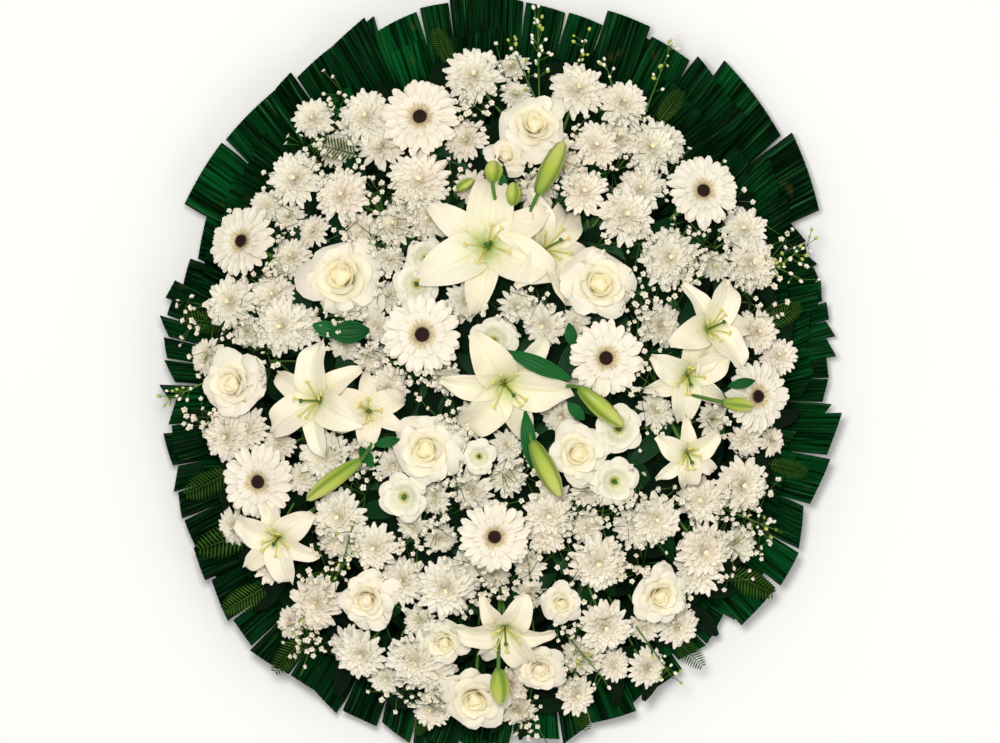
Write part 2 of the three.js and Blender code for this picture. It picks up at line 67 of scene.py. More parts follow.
# How deep behind its rim a head meets its stem, as a share of its radius
HEEL = {"gerbera": 0.3, "lily": 0.46, "rose": 0.42, "lisianthus": 0.42, "chrysanthemum": 0.22}
# How far each kind stands out from the dome, in millimetres
LIFT = {"gerbera": 12, "lily": 24, "rose": 4, "lisianthus": 0, "chrysanthemum": -8}
# Slots of the material list that every flower piece carries, and the one slot of a piece of leaves
PETAL, HEART, EYE, STEM, BUD, LEAF = range(6)
BLADE = 0


# ---- meshes made of many thin sheets and tubes --------------------------------------------------

def smooth_step(share):
    share = np.clip(share, 0, 1)
    return share * share * (3 - 2 * share)


def unit(vectors):
    return vectors / (np.linalg.norm(vectors, axis=-1, keepdims=True) + 1e-12)


def moved(points, place):
    return points @ place[:3, :3].T + place[:3, 3]


class Bloom:
    """Collects sheets, tubes and turned shapes, and makes one mesh of them."""

    def __init__(self):
        self.points = []
        self.faces = []
        self.slots = []
        self.notes = []
        self.rims = []
        self.count = 0

    def _add(self, points, notes, faces, slot, rim=None):
        self.points.append(points)
        self.notes.append(notes)
        self.rims.append(np.zeros(len(points), bool) if rim is None else rim)
        for block in faces:
            self.faces.append(block + self.count)
            self.slots.append(np.full(len(block), slot))
        self.count += len(points)

    def sheets(self, grids, slot, place=AS_MADE, tint=0.0, thickness=PETAL_THICKNESS):
        """Closed thin bodies, one for each grid of rows from base to tip and columns across."""
        amount, rows, columns, _ = grids.shape
        normal = unit(np.cross(np.gradient(grids, axis=2), np.gradient(grids, axis=1)))
        inside = np.zeros((rows, columns), bool)
        inside[1:-1, 1:-1] = True
        under = (grids - thickness * normal)[:, inside]
        points = np.concatenate([grids.reshape(amount, -1, 3), under], axis=1)
        front = np.arange(rows * columns).reshape(rows, columns)
        back = front.copy()
        back[inside] = rows * columns + np.arange(inside.sum())
        quads = np.concatenate([
            np.stack([front[:-1, :-1], front[:-1, 1:], front[1:, 1:], front[1:, :-1]], -1),
            np.stack([back[:-1, :-1], back[1:, :-1], back[1:, 1:], back[:-1, 1:]], -1),
        ]).reshape(-1, 4)
        offsets = np.arange(amount)[:, None, None] * points.shape[1]
        along, across = np.linspace(0, 1, rows), np.linspace(-1, 1, columns)
        note = np.stack(np.meshgrid(along, across, indexing="ij"), -1)
        notes = np.empty((amount, points.shape[1], 3))
        notes[..., :2] = np.concatenate([note.reshape(-1, 2), note[inside]])
        notes[..., 2] = np.broadcast_to(tint, amount)[:, None]
        rim = np.concatenate([~inside.ravel(), np.zeros(inside.sum(), bool)])
        points = moved(points.reshape(-1, 3), place)
        faces = [(quads + offsets).reshape(-1, 4)]
        self._add(points, notes.reshape(-1, 3), faces, slot, np.tile(rim, amount))

    def petals(self, slot, place, *layout, size=1.0, tint=0.0, thickness=PETAL_THICKNESS, **shape):
        """Adds petals whose length, width, start and height are given as shares of size."""
        for name in {"length", "width", "start", "height"} & shape.keys():
            shape[name] = size * shape[name]
        self.sheets(petals(*layout, **shape), slot, place, tint, thickness)

    def cups(self, place, size, sink, tint, azimuth, **shape):
        """Adds broad petals whose measures are shares of size, sunk by the share sink of it."""
        grids = size * cupped(azimuth, **shape)
        grids[..., 2] -= sink * size
        self.sheets(grids, PETAL, place, tint)

    def copies(self, pattern, places):
        """Adds a copy of another bloom at each of the 4 by 4 matrices in places."""
        places = np.asarray(places)
        amount = len(places)
        points = np.concatenate(pattern.points)
        copied = np.einsum("nij,kj->nki", places[:, :3, :3], points) + places[:, None, :3, 3]
        offsets = np.arange(amount)[:, None, None] * len(points) + self.count
        self.points.append(copied.reshape(-1, 3))
        self.notes.append(np.tile(np.concatenate(pattern.notes), (amount, 1)))
        self.rims.append(np.tile(np.concatenate(pattern.rims), amount))
        for block, slots in zip(pattern.faces, pattern.slots):
            self.faces.append((block[None] + offsets).reshape(-1, block.shape[1]))
            self.slots.append(np.tile(slots, amount))
        self.count += amount * len(points)

    def _rings(self, points, rows, sides, share, across, tint, slot):
        """Closes rows of rings, which two end points follow, into one round body."""
        index = np.arange(rows * sides).reshape(rows, sides)
        following = np.roll(index, -1, axis=1)
        quads = np.stack([index[:-1], following[:-1], following[1:], index[1:]], -1)
        foot, tip = np.full(sides, rows * sides), np.full(sides, rows * sides + 1)
        fans = np.concatenate([
            np.stack([foot, following[0], index[0]], -1),
            np.stack([tip, index[-1], following[-1]], -1),
        ])
        notes = np.stack([share, across, np.full_like(share, tint)], -1)
        self._add(points, notes, [quads.reshape(-1, 4), fans], slot)

    def turned(self, profile, slot, place, sides=12, size=1.0, ridges=0, ridge=0.0, tint=0.5):
        """A closed turned shape from (radius, height) pairs that start and end on the axis."""
        profile = size * np.array(profile, float)
        angle = np.arange(sides) / sides * TURN
        crest = np.cos(ridges * angle)
        radii = profile[1:-1, :1] * (1 + ridge * crest)
        heights = np.broadcast_to(profile[1:-1, 1:], radii.shape)
        rings = np.stack([radii * np.cos(angle), radii * np.sin(angle), heights], -1)
        ends = [[0, 0, profile[0, 1]], [0, 0, profile[-1, 1]]]
        points = np.concatenate([rings.reshape(-1, 3), ends])
        share = (points[:, 2] - points[:, 2].min()) / np.ptp(points[:, 2])
        across = np.append(np.tile(crest, len(radii)), (0, 0))
        self._rings(moved(points, place), len(radii), sides, share, across, tint, slot)

    def tube(self, route, radii, slot, sides=5, tint=0.5):
        """A closed round tube through the points of route."""
        route = np.asarray(route, float)
        heading = unit(np.gradient(route, axis=0))
        side = unit(np.cross(heading, [0.31, 0.17, 0.93] if abs(heading[0][2]) < 0.9 else [1, 0, 0]))
        up = np.cross(heading, side)
        angle = (np.arange(sides) / sides * TURN)[None, :, None]
        radii = np.broadcast_to(radii, len(route))[:, None, None]
        rings = route[:, None] + radii * (np.cos(angle) * side[:, None] + np.sin(angle) * up[:, None])
        points = np.concatenate([rings.reshape(-1, 3), route[[0, -1]]])
        share = np.append(np.repeat(np.linspace(0, 1, len(route)), sides), (0, 1))
        self._rings(points, len(route), sides, share, np.zeros_like(share), tint, slot)

    def finish(self, name, slot, materials, *nodes, smooth=True):
        """Makes the piece, which rides on the root body and is shown in place of nodes."""
        points = np.concatenate(self.points)
        notes = np.concatenate(self.notes)
        sizes = np.concatenate([np.full(len(block), block.shape[1]) for block in self.faces])
        loops = np.concatenate([block.ravel() for block in self.faces])
        mesh = bpy.data.meshes.new(name)
        mesh.vertices.add(len(points))
        mesh.vertices.foreach_set("co", points.ravel())
        mesh.loops.add(len(loops))
        mesh.loops.foreach_set("vertex_index", loops.astype(np.int32))
        mesh.polygons.add(len(sizes))
        mesh.polygons.foreach_set("loop_start", np.cumsum(sizes) - sizes)
        mesh.polygons.foreach_set("material_index", np.concatenate(self.slots))
        mesh.polygons.foreach_set("use_smooth", np.full(len(sizes), smooth))
        for column, label in enumerate(("along", "across", "tint")):
            layer = mesh.attributes.new(label, "FLOAT", "POINT")
            layer.data.foreach_set("value", notes[:, column].astype(np.float32))
        mesh.update(calc_edges=True)
        ends = np.empty(2 * len(mesh.edges), np.int32)
        mesh.edges.foreach_get("vertices", ends)
        sharp = mesh.attributes.new("sharp_edge", "BOOLEAN", "EDGE")
        sharp.data.foreach_set("value", np.concatenate(self.rims)[ends.reshape(-1, 2)].all(1))
        for material in materials:
            mesh.materials.append(material)
        piece = bpy.data.objects.new(name, mesh)
        bpy.context.scene.collection.objects.link(piece)
        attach(piece, "root")
        if nodes:
            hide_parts(*nodes)


# ---- petal shapes -------------------------------------------------------------------------------

def strap(share):
    """A narrow ray with a blunt tip."""
    body = 0.55 + 0.45 * np.sin(np.clip(share / 0.7, 0, 1) * math.pi / 2)
    return body * np.sqrt(np.clip(1 - (np.clip(share - 0.8, 0, 1) / 0.2) ** 2, 0.12, 1))


def lance(share):
    """A broad petal that narrows to a point, as a lily's does."""
    return 0.16 + 0.84 * np.sin(math.pi * np.clip(share, 0, 0.97) ** 0.86) ** 0.9


def needle(share):
    """A slim leaf that is pointed at both ends."""
    return np.sin(math.pi * np.clip(share, 0.03, 0.97)) ** 0.8


def fan(share):
    """A short petal with a round tip."""
    body = 0.3 + 0.7 * smooth_step(share / 0.75)
    return body * np.sqrt(np.clip(1 - (np.clip(share - 0.72, 0, 1) / 0.28) ** 2, 0.08, 1))


def petal_layout(azimuth, rows, columns):
    """The azimuths, a function that gives each petal its value, and the shares along and across."""
    azimuth = np.atleast_1d(np.asarray(azimuth, float))

    def each(value):
        return np.broadcast_to(np.asarray(value, float), azimuth.shape)[:, None, None]

    share = np.linspace(0, 1, rows)[None, :, None]
    side = np.linspace(-1, 1, columns)[None, None, :]
    return azimuth, each, share, side


def petals(azimuth, rows, columns, outline, *, length, width, start=0.0, height=0.0, rise, droop,
           cup=0.0, groove=0.0, ruffle=0.0, waves=2.0, phase=0.0, bend=1.0, sway=0.0):
    """Grids of petals round the Z axis.

    Each leaves the radius start at the angle rise above the flat, and ends at the angle droop.
    cup lifts its sides, groove presses in its midrib, and ruffle waves its edges.
    """
    azimuth, each, share, side = petal_layout(azimuth, rows, columns)
    pitch = each(rise) + (each(droop) - each(rise)) * share ** bend
    step = each(length) / (rows - 1)
    middle = (pitch[:, 1:] + pitch[:, :-1]) / 2
    nothing = np.zeros((len(azimuth), 1, 1))
    out = np.concatenate([nothing, np.cumsum(np.cos(middle) * step, 1)], 1)
    up = np.concatenate([nothing, np.cumsum(np.sin(middle) * step, 1)], 1)
    half = each(width) / 2 * outline(share)
    lift = each(cup) * half * side ** 2
    lift = lift - each(groove) * each(width) * np.exp(-(side / 0.22) ** 2) * smooth_step(3 * share)
    wave = np.sin(TURN * each(waves) * share + each(phase) + 2 * side)
    lift = lift + each(ruffle) * each(width) * share * np.abs(side) * wave
    radial = each(start) + out - np.sin(pitch) * lift
    rising = each(height) + up + np.cos(pitch) * lift
    offset = half * side + each(sway) * each(length) * share ** 2
    turn = each(azimuth)
    return np.stack([
        radial * np.cos(turn) - offset * np.sin(turn),
        radial * np.sin(turn) + offset * np.cos(turn),
        np.broadcast_to(rising, offset.shape),
    ], -1)


def cupped(azimuth, *, spread, radius, height, open_out, droop, roll,
           foot=0.03, ruffle=0.0, phase=0.0, tilt=0.0):
    """Grids of broad petals that wrap round the Z axis, as a rose's do.

    open_out is 0 for a petal that rises like the side of a cup and 1 for one that lies back.
    """
    azimuth, each, share, side = petal_layout(azimuth, 9, 9)
    crown = share * (1 - 0.24 * side ** 2 - 0.1 * side ** 4)
    reach = crown ** (0.5 + 0.45 * each(open_out))
    rising = crown ** (1.35 - 0.6 * each(open_out))
    wave = each(ruffle) * share ** 3 * np.sin(3.2 * side + each(phase))
    edge = each(roll) * smooth_step((share - 0.7) / 0.3) ** 2
    rho = foot + (each(radius) - foot) * reach + each(radius) * wave + edge
    z = each(height) * rising * (1 - each(droop) * crown ** 3)
    z = z - 0.6 * edge + each(height) * 0.6 * wave + each(tilt) * side * share
    angle = each(azimuth) + side * each(spread) * (0.45 + 0.55 * np.sin(math.pi / 2 * share ** 0.6))
    return np.stack([rho * np.cos(angle), rho * np.sin(angle), z], -1)


def ring_of(rng, count, first=0.0, jitter=0.25):
    """Azimuths of a ring of petals, each a little off its even place."""
    gap = TURN / count
    return first + gap * (np.arange(count) + jitter * rng.uniform(-1, 1, count))


# ---- flower heads, facing +Z, in shares of their radius -----------------------------------------

def gerbera(bloom, rng, place, radius):
    rays = (
        (23, 0.20, 0.82, 0.235, 0.16, -0.14, -0.03),
        (21, 0.19, 0.77, 0.225, 0.26, -0.06, 0.02),
        (24, 0.18, 0.44, 0.130, 0.50, 0.15, 0.05),
    )
    for count, start, length, width, rise, droop, height in rays:
        bloom.petals(
            PETAL, place, ring_of(rng, count, rng.uniform(0, 1)), 8, 5, strap, size=radius,
            length=length * rng.uniform(0.88, 1.02, count),
            width=width * rng.uniform(0.88, 1.06, count),
            start=start, height=height,
            rise=rise + rng.normal(0, 0.05, count), droop=droop + rng.normal(0, 0.12, count),
            cup=0.25, groove=0.07, sway=rng.normal(0, 0.05, count), tint=rng.uniform(0, 1, count),
        )
    for count, start, length, rise, droop in ((48, 0.20, 0.20, 0.85, 0.25), (44, 0.17, 0.16, 1.2, 0.7)):
        bloom.petals(
            HEART, place, ring_of(rng, count, rng.uniform(0, 1), 0.4), 4, 3, strap, size=radius,
            length=length * rng.uniform(0.7, 1.15, count), width=0.035, start=start, height=0.05,
            rise=rise, droop=droop, tint=rng.uniform(0, 1, count),
        )
    dome = [(0, 0.02), (0.17, 0.04), (0.165, 0.09), (0.12, 0.12), (0.06, 0.115), (0, 0.10)]
    bloom.turned(dome, EYE, place, 20, radius)
    count = 70
    bloom.petals(
        EYE, place, GOLDEN_ANGLE * np.arange(count), 3, 3, strap, size=radius,
        length=0.055, width=0.03, start=0.15 * np.sqrt(np.arange(count) / count), height=0.105,
        rise=1.5, droop=1.2, tint=rng.uniform(0, 1, count),
    )
    cup = [(0, -0.34), (0.13, -0.3), (0.2, -0.16), (0.21, -0.04), (0, 0.03)]
    bloom.turned(cup, STEM, place, 14, radius)


def lily(bloom, rng, place, radius):
    first = 0.3
    for turn, width, height in ((TURN / 6, 0.50, -0.47), (0, 0.72, -0.44)):
        bloom.petals(
            PETAL, place, first + turn + TURN / 3 * np.arange(3) + rng.normal(0, 0.05, 3), 16, 9, lance,
            size=radius, length=1.28 * rng.uniform(0.94, 1.04, 3), width=width, start=0.03, height=height,
            rise=1.12 + rng.normal(0, 0.05, 3), droop=-0.75 + rng.normal(0, 0.22, 3),
            cup=0.38, groove=0.05, ruffle=0.10, waves=2.2, phase=rng.uniform(0, TURN, 3),
            bend=0.85, sway=rng.normal(0, 0.05, 3), tint=rng.uniform(0, 1, 3),
            thickness=1.4 * PETAL_THICKNESS,
        )
    throat = [(0, -0.54), (0.06, -0.5), (0.09, -0.4), (0.05, -0.36), (0, -0.35)]
    bloom.turned(throat, STEM, place, 10, radius)
    up = np.array([0, 0, 1])
    share = np.linspace(0, 1, 7)[:, None]
    anther = [(0, -4), (1.1, -2.6), (1.4, 0), (1.1, 2.6), (0, 4)]
    for azimuth in ring_of(rng, 6, rng.uniform(0, 1), 0.5):
        outward = np.array([math.cos(azimuth), math.sin(azimuth), 0])
        out = outward * (0.03 + rng.uniform(0.24, 0.34) * share ** 1.6)
        route = moved(radius * (out + up * (-0.42 + 0.52 * share)), place)
        bloom.tube(route, 0.9 * MM, HEART, 5, 0.2)
        facing = place[:3, :3] @ (-math.sin(azimuth), math.cos(azimuth), 0.2)
        bloom.turned(anther, HEART, placed(route[-1], facing), 8, MM, tint=0.9)
    share = np.linspace(0, 1, 6)[:, None]
    route = moved(radius * (np.array([0.05, 0.02, 0]) * share + up * (-0.42 + 0.66 * share)), place)
    bloom.tube(route, 1.3 * MM, STEM, 6, 0.8)
    knob = [(0, -2), (2.6, -1), (3.0, 0.8), (1.6, 2.2), (0, 2.5)]
    bloom.turned(knob, STEM, placed(route[-1], place[:3, 2]), 9, MM, 3, 0.12)


def rose(bloom, rng, place, radius, openness=0.6):
    layers = (
        # count, radii, heights, open_out, droop, spread, ruffle
        (8, (0.10, 0.34), (0.72, 0.82), (0.15, 0.3), (0.0, 0.1), 1.1, 0.05),
        (8, (0.38, 0.66), (0.84, 0.76), (0.3, 0.6), (0.05, 0.25), 0.95, 0.08),
        (9, (0.70, 1.0), (0.72, 0.56), (0.6, 1.0), (0.2, 0.35 + 0.45 * openness), 0.8, 0.12),
    )
    first = 0
    for depth, (count, radii, heights, opening, droops, spread, ruffle) in enumerate(layers):
        bloom.cups(
            place, radius, 0.46, 1 - 0.5 * depth,
            GOLDEN_ANGLE * (first + np.arange(count)) + rng.normal(0, 0.15, count),
            spread=spread * rng.uniform(0.9, 1.1, count),
            radius=np.linspace(*radii, count) * rng.uniform(0.95, 1.04, count),
            height=np.linspace(*heights, count) * rng.uniform(0.94, 1.04, count),
            open_out=np.linspace(*opening, count), droop=np.linspace(*droops, count),
            roll=0.05 * (1 + depth) * rng.uniform(0.7, 1.3, count),
            ruffle=ruffle, phase=rng.uniform(0, TURN, count),
            tilt=rng.normal(0, 0.05 + 0.03 * depth, count),
        )
        first += count
    heart = [(0, -0.4), (0.2, -0.2), (0.22, 0.06), (0.13, 0.2), (0, 0.22)]
    bloom.turned(heart, PETAL, place, 15, radius, 3, 0.2, 1.0)
    hip = [(0, -0.62), (0.1, -0.58), (0.16, -0.48), (0.12, -0.38), (0, -0.34)]
    bloom.turned(hip, STEM, place, 10, radius)
    bloom.petals(
        STEM, place, ring_of(rng, 5), 6, 3, needle, size=radius,
        length=0.7, width=0.16, start=0.08, height=-0.5, rise=-0.1, droop=0.5, cup=0.2,
        tint=rng.uniform(0, 1, 5),
    )


def lisianthus(bloom, rng, place, radius):
    outer = np.repeat([0.0, 1.0], [5, 6])
    bloom.cups(
        place, radius, 0.45, 1 - outer, np.concatenate([ring_of(rng, 5), ring_of(rng, 6, 0.5)]),
        spread=0.78 - 0.08 * outer, radius=0.72 + 0.26 * outer, height=0.74 - 0.14 * outer,
        open_out=0.3 + 0.5 * outer, droop=0.1 + 0.3 * outer, roll=0.1, ruffle=0.05,
        phase=rng.uniform(0, TURN, 11), tilt=rng.normal(0, 0.05, 11),
    )
    pistil = [(0, -0.44), (0.1, -0.36), (0.09, -0.2), (0.05, -0.12), (0.09, -0.05), (0, -0.02)]
    bloom.turned(pistil, STEM, place, 10, radius)
    bloom.petals(
        HEART, place, ring_of(rng, 7), 4, 3, strap, size=radius,
        length=0.3, width=0.07, start=0.08, height=-0.4, rise=1.3, droop=0.7,
        tint=rng.uniform(0, 1, 7),
    )


def chrysanthemum(bloom, rng, place, radius, fullness=7):
    for layer in range(fullness):
        share = layer / (fullness - 1)
        count = round(21 - 9 * share)
        bloom.petals(
            PETAL, place, ring_of(rng, count, rng.uniform(0, 1), 0.45), 5, 3, strap, size=radius,
            length=(0.94 - 0.58 * share) * rng.uniform(0.86, 1.06, count),
            width=0.27 - 0.09 * share, start=0.10 - 0.08 * share, height=-0.12 + 0.18 * share,
            rise=0.25 + 1.05 * share + rng.normal(0, 0.08, count),
            droop=-0.25 + 1.35 * share + rng.normal(0, 0.16, count),
            cup=0.45, sway=rng.normal(0, 0.08, count),
            tint=0.7 * share + 0.3 * rng.uniform(0, 1, count),
        )
    button = [(0, 0.02), (0.1, 0.05), (0.13, 0.16), (0.08, 0.24), (0, 0.26)]
    bloom.turned(button, HEART, place, 10, radius)
    cup = [(0, -0.3), (0.12, -0.26), (0.2, -0.14), (0.16, -0.02), (0, 0.02)]
    bloom.turned(cup, STEM, place, 10, radius)


HEADS = {make.__name__: make for make in (gerbera, lily, rose, lisianthus, chrysanthemum)}


# ---- placing flowers ----------------------------------------------------------------------------

def placed(position, facing, spin=0.0):
    """The matrix that takes +Z to facing and the origin to position, in metres."""
    turn = Vector((0, 0, 1)).rotation_difference(Vector(facing).normalized())
    matrix = Matrix.Translation(Vector(position)) @ turn.to_matrix().to_4x4()
    return np.array(matrix @ Matrix.Rotation(spin, 4, "Z"))


def on_dome(x, y, lift=0.0):
    """The point of the dome over (x, y), raised by lift: millimetres in, metres out."""
    across = x / DOME_HALF_WIDTH
    along = (y - DOME_CENTRE_Y) / DOME_HALF_HEIGHT
    height = DOME_RIM + DOME_RISE * (1 - across ** 2 - along ** 2)
    return Vector((x, y, height + lift)) * MM


def dome_facing(x, y, lean=0.8):
    across = 2 * DOME_RISE * x / DOME_HALF_WIDTH ** 2
    along = 2 * DOME_RISE * (y - DOME_CENTRE_Y) / DOME_HALF_HEIGHT ** 2
    return Vector((lean * across, lean * along, 1)).normalized()


def scattered(number, count, spread):
    """The x and y of one of count points that are spread evenly over the dome's oval."""
    share = spread * math.sqrt((number + 0.5) / count)
    angle = GOLDEN_ANGLE * number
    x = share * DOME_HALF_WIDTH * math.cos(angle)
    return x, share * DOME_HALF_HEIGHT * math.sin(angle) + DOME_CENTRE_Y


def curve_through(start, bend, end, steps=8):
    """Points of a smooth curve from start to end, drawn towards bend."""
    share = np.linspace(0, 1, steps)[:, None]
    start, bend, end = (np.array(point, float) for point in (start, bend, end))
    return (1 - share) ** 2 * start + 2 * share * (1 - share) * bend + share ** 2 * end


def arched(start, end, rise, steps):
    """Points of a curve from start to end that bulges up by rise millimetres half way."""
    return curve_through(start, (start + end) / 2 + Vector((0, 0, rise * MM)), end, steps)


def foam_entry(point):
    """Where a stem from this point goes into the foam, and its end inside."""
    top = Vector((0.66 * point.x, 0.66 * point.y, FOAM_TOP + 9 * MM))
    return top, Vector((0.86 * top.x, 0.86 * top.y, FOAM_TOP - 46 * MM))


def head(kind, x, y, radius, face=None, lean=0.8, lift=0.0, **shape):
    """One open flower: millimetres on the dome, and face where it doesn't lean with the dome."""
    return dict(kind=kind, x=x, y=y, radius=radius, face=face, lean=lean, lift=lift, shape=shape)


def bud(foot, tip, radius, lift=34.0):
    return dict(foot=foot, tip=tip, radius=radius, lift=lift)


def add_bud(bloom, spec):
    """A closed lily bud, ridged along its length. Returns the same as add_head."""
    start = on_dome(*spec["foot"], spec["lift"])
    end = on_dome(*spec["tip"], spec["lift"] + 4)
    axis = end - start
    radius = spec["radius"] * MM
    shape = [(0, 0), (0.45, 0.03), (0.72, 0.14), (0.96, 0.38), (1, 0.55), (0.86, 0.75), (0.5, 0.93), (0, 1)]
    profile = np.array(shape) * (radius, axis.length)
    bloom.turned(profile, BUD, placed(start, axis), 18, 1.0, 3, 0.09)
    heading = axis.normalized()
    return dict(place=end, facing=heading, radius=radius, heel=start + 3 * MM * heading)


def add_head(bloom, rng, item):
    """Adds one open flower. Returns what is needed to keep clear of it and to reach it."""
    facing = dome_facing(item["x"], item["y"], item["lean"])
    if item["face"]:
        facing = Vector((*item["face"], 1)).normalized()
    position = on_dome(item["x"], item["y"], LIFT[item["kind"]] + item["lift"])
    place = placed(position, facing, rng.uniform(0, TURN))
    radius = item["radius"] * MM
    HEADS[item["kind"]](bloom, rng, place, radius, **item["shape"])
    heel = position - facing * HEEL[item["kind"]] * radius
    return dict(place=position, facing=facing, radius=radius, heel=heel)


def plant(bloom, rng, heads, buds, stem):
    """Adds one plant: its heads, its buds and its stem down into the foam. Returns its branches."""
    ends = [add_head(bloom, rng, item) for item in heads]
    ends += [add_bud(bloom, item) for item in buds]
    middle = sum((end["heel"] for end in ends), Vector()) / len(ends)
    top, bottom = foam_entry(middle)
    fork = top
    thickness = 0.8 * stem * MM
    bloom.tube([bottom, top], stem * MM, STEM, 6)
    if len(ends) > 1:
        fork = top.lerp(middle, 0.3)
        bloom.tube([top, fork], thickness, STEM, 6)
        thickness *= 0.8
    for end in ends:
        neck = end["heel"] - end["facing"] * NECK
        bloom.tube(curve_through(fork, neck, end["heel"]), thickness, STEM, 6)
        end.update(start=fork, bend=half_way(fork, neck, end["heel"]), thickness=thickness)
    return ends


def half_way(start, neck, heel):
    """The point half way along the bent line from start over neck to heel."""
    first, second = (neck - start).length, (heel - neck).length
    half = (first + second) / 2
    return start.lerp(neck, half / first) if half < first else neck.lerp(heel, (half - first) / second)


# ---- the leaves on the stems, which grow where the CAD has them ---------------------------------

LEAF_LENGTH = 80 * MM
LEAF_WIDTH = 27 * MM
LEAF_GAP = 3.5 * MM
LEAF_CROSSING = 6 * MM
LEAF_DIRECTIONS = 12
LEAVES_PER_BRANCH = 3
LEAVES_APART = math.radians(75)
UNDERSIDE = 0.55


def leaf_from(branch, angle):
    base = branch["bend"].lerp(branch["heel"], 0.15)
    far = base + LEAF_LENGTH * Vector((math.cos(angle), math.sin(angle), 0))
    fall = on_dome(far.x / MM, far.y / MM).z - on_dome(base.x / MM, base.y / MM).z
    axis = far - base + Vector((0, 0, fall))
    samples = [base + share * axis for share in (0.25, 0.45, 0.65, 0.85, 1)]
    return dict(base=base, axis=axis, angle=angle, samples=samples)


def above_foam(point):
    across = point.x / FOAM_HALF_WIDTH
    along = (point.y - FOAM_CENTRE_Y) / FOAM_HALF_HEIGHT
    return math.hypot(across, along) > 1.08 or point.z > FOAM_TOP + LEAF_GAP


def distance_to_line(point, start, end):
    nearest, share = intersect_point_line(point, start, end)
    nearest = start.lerp(end, min(max(share, 0), 1))
    return (point - nearest).length


def clear_of_branch(point, branch):
    room = LEAF_WIDTH / 2 + branch["thickness"] + LEAF_GAP
    for start, end in (("start", "bend"), ("bend", "heel")):
        if distance_to_line(point, branch[start], branch[end]) < room:
            return False
    offset = point - branch["place"]
    along = offset.dot(branch["facing"])
    across = math.sqrt(max(offset.length_squared - along ** 2, 0))
    share = min(across / branch["radius"], 1)
    beneath = -UNDERSIDE * branch["radius"] * (1 - share ** 2) - LEAF_GAP
    return across > branch["radius"] + LEAF_WIDTH / 2 or along < beneath


def clear_of_leaf(point, other):
    return all(
        math.hypot(point.x - taken.x, point.y - taken.y) > LEAF_WIDTH
        or abs(point.z - taken.z) > LEAF_CROSSING
        for taken in other["samples"]
    )


def add_stem_leaves(plants):
    """Gives every branch of every (bloom, branches) the leaves that it has room for."""
    rng = np.random.default_rng(50)
    every_branch = [branch for _, branches in plants for branch in branches]
    leaves = []
    for bloom, branch in [(bloom, branch) for bloom, branches in plants for branch in branches]:
        own = []
        outward = math.atan2(branch["heel"].y - DOME_CENTRE_Y * MM, branch["heel"].x)
        for step in range(LEAF_DIRECTIONS):
            turn = math.ceil(step / 2) * (1 if step % 2 else -1) * TURN / LEAF_DIRECTIONS
            leaf = leaf_from(branch, outward + turn)
            if len(own) == LEAVES_PER_BRANCH:
                break
            if any(math.cos(mate["angle"] - leaf["angle"]) >= math.cos(LEAVES_APART) for mate in own):
                continue
            if all(
                above_foam(point)
                and all(other is branch or clear_of_branch(point, other) for other in every_branch)
                and all(clear_of_leaf(point, other) for other in leaves)
                for point in leaf["samples"]
            ):
                own.append(leaf)
                leaves.append(leaf)
                add_stem_leaf(bloom, rng, leaf)


def add_stem_leaf(bloom, rng, leaf):
    along = leaf["axis"].normalized()
    across = Vector((-along.y, along.x, 0)).normalized()
    place = np.eye(4)
    place[:3, :3] = np.array([along, across, along.cross(across)]).T
    place[:3, 3] = leaf["base"]
    bloom.petals(
        LEAF, place, [0.0], 12, 7, needle, length=LEAF_LENGTH * 1.01, width=LEAF_WIDTH,
        rise=0.12, droop=-0.16, cup=0.2, groove=0.04, ruffle=0.03, waves=3,
        phase=rng.uniform(0, TURN), tint=rng.uniform(0.1, 0.9),
    )


# ---- materials ----------------------------------------------------------------------------------

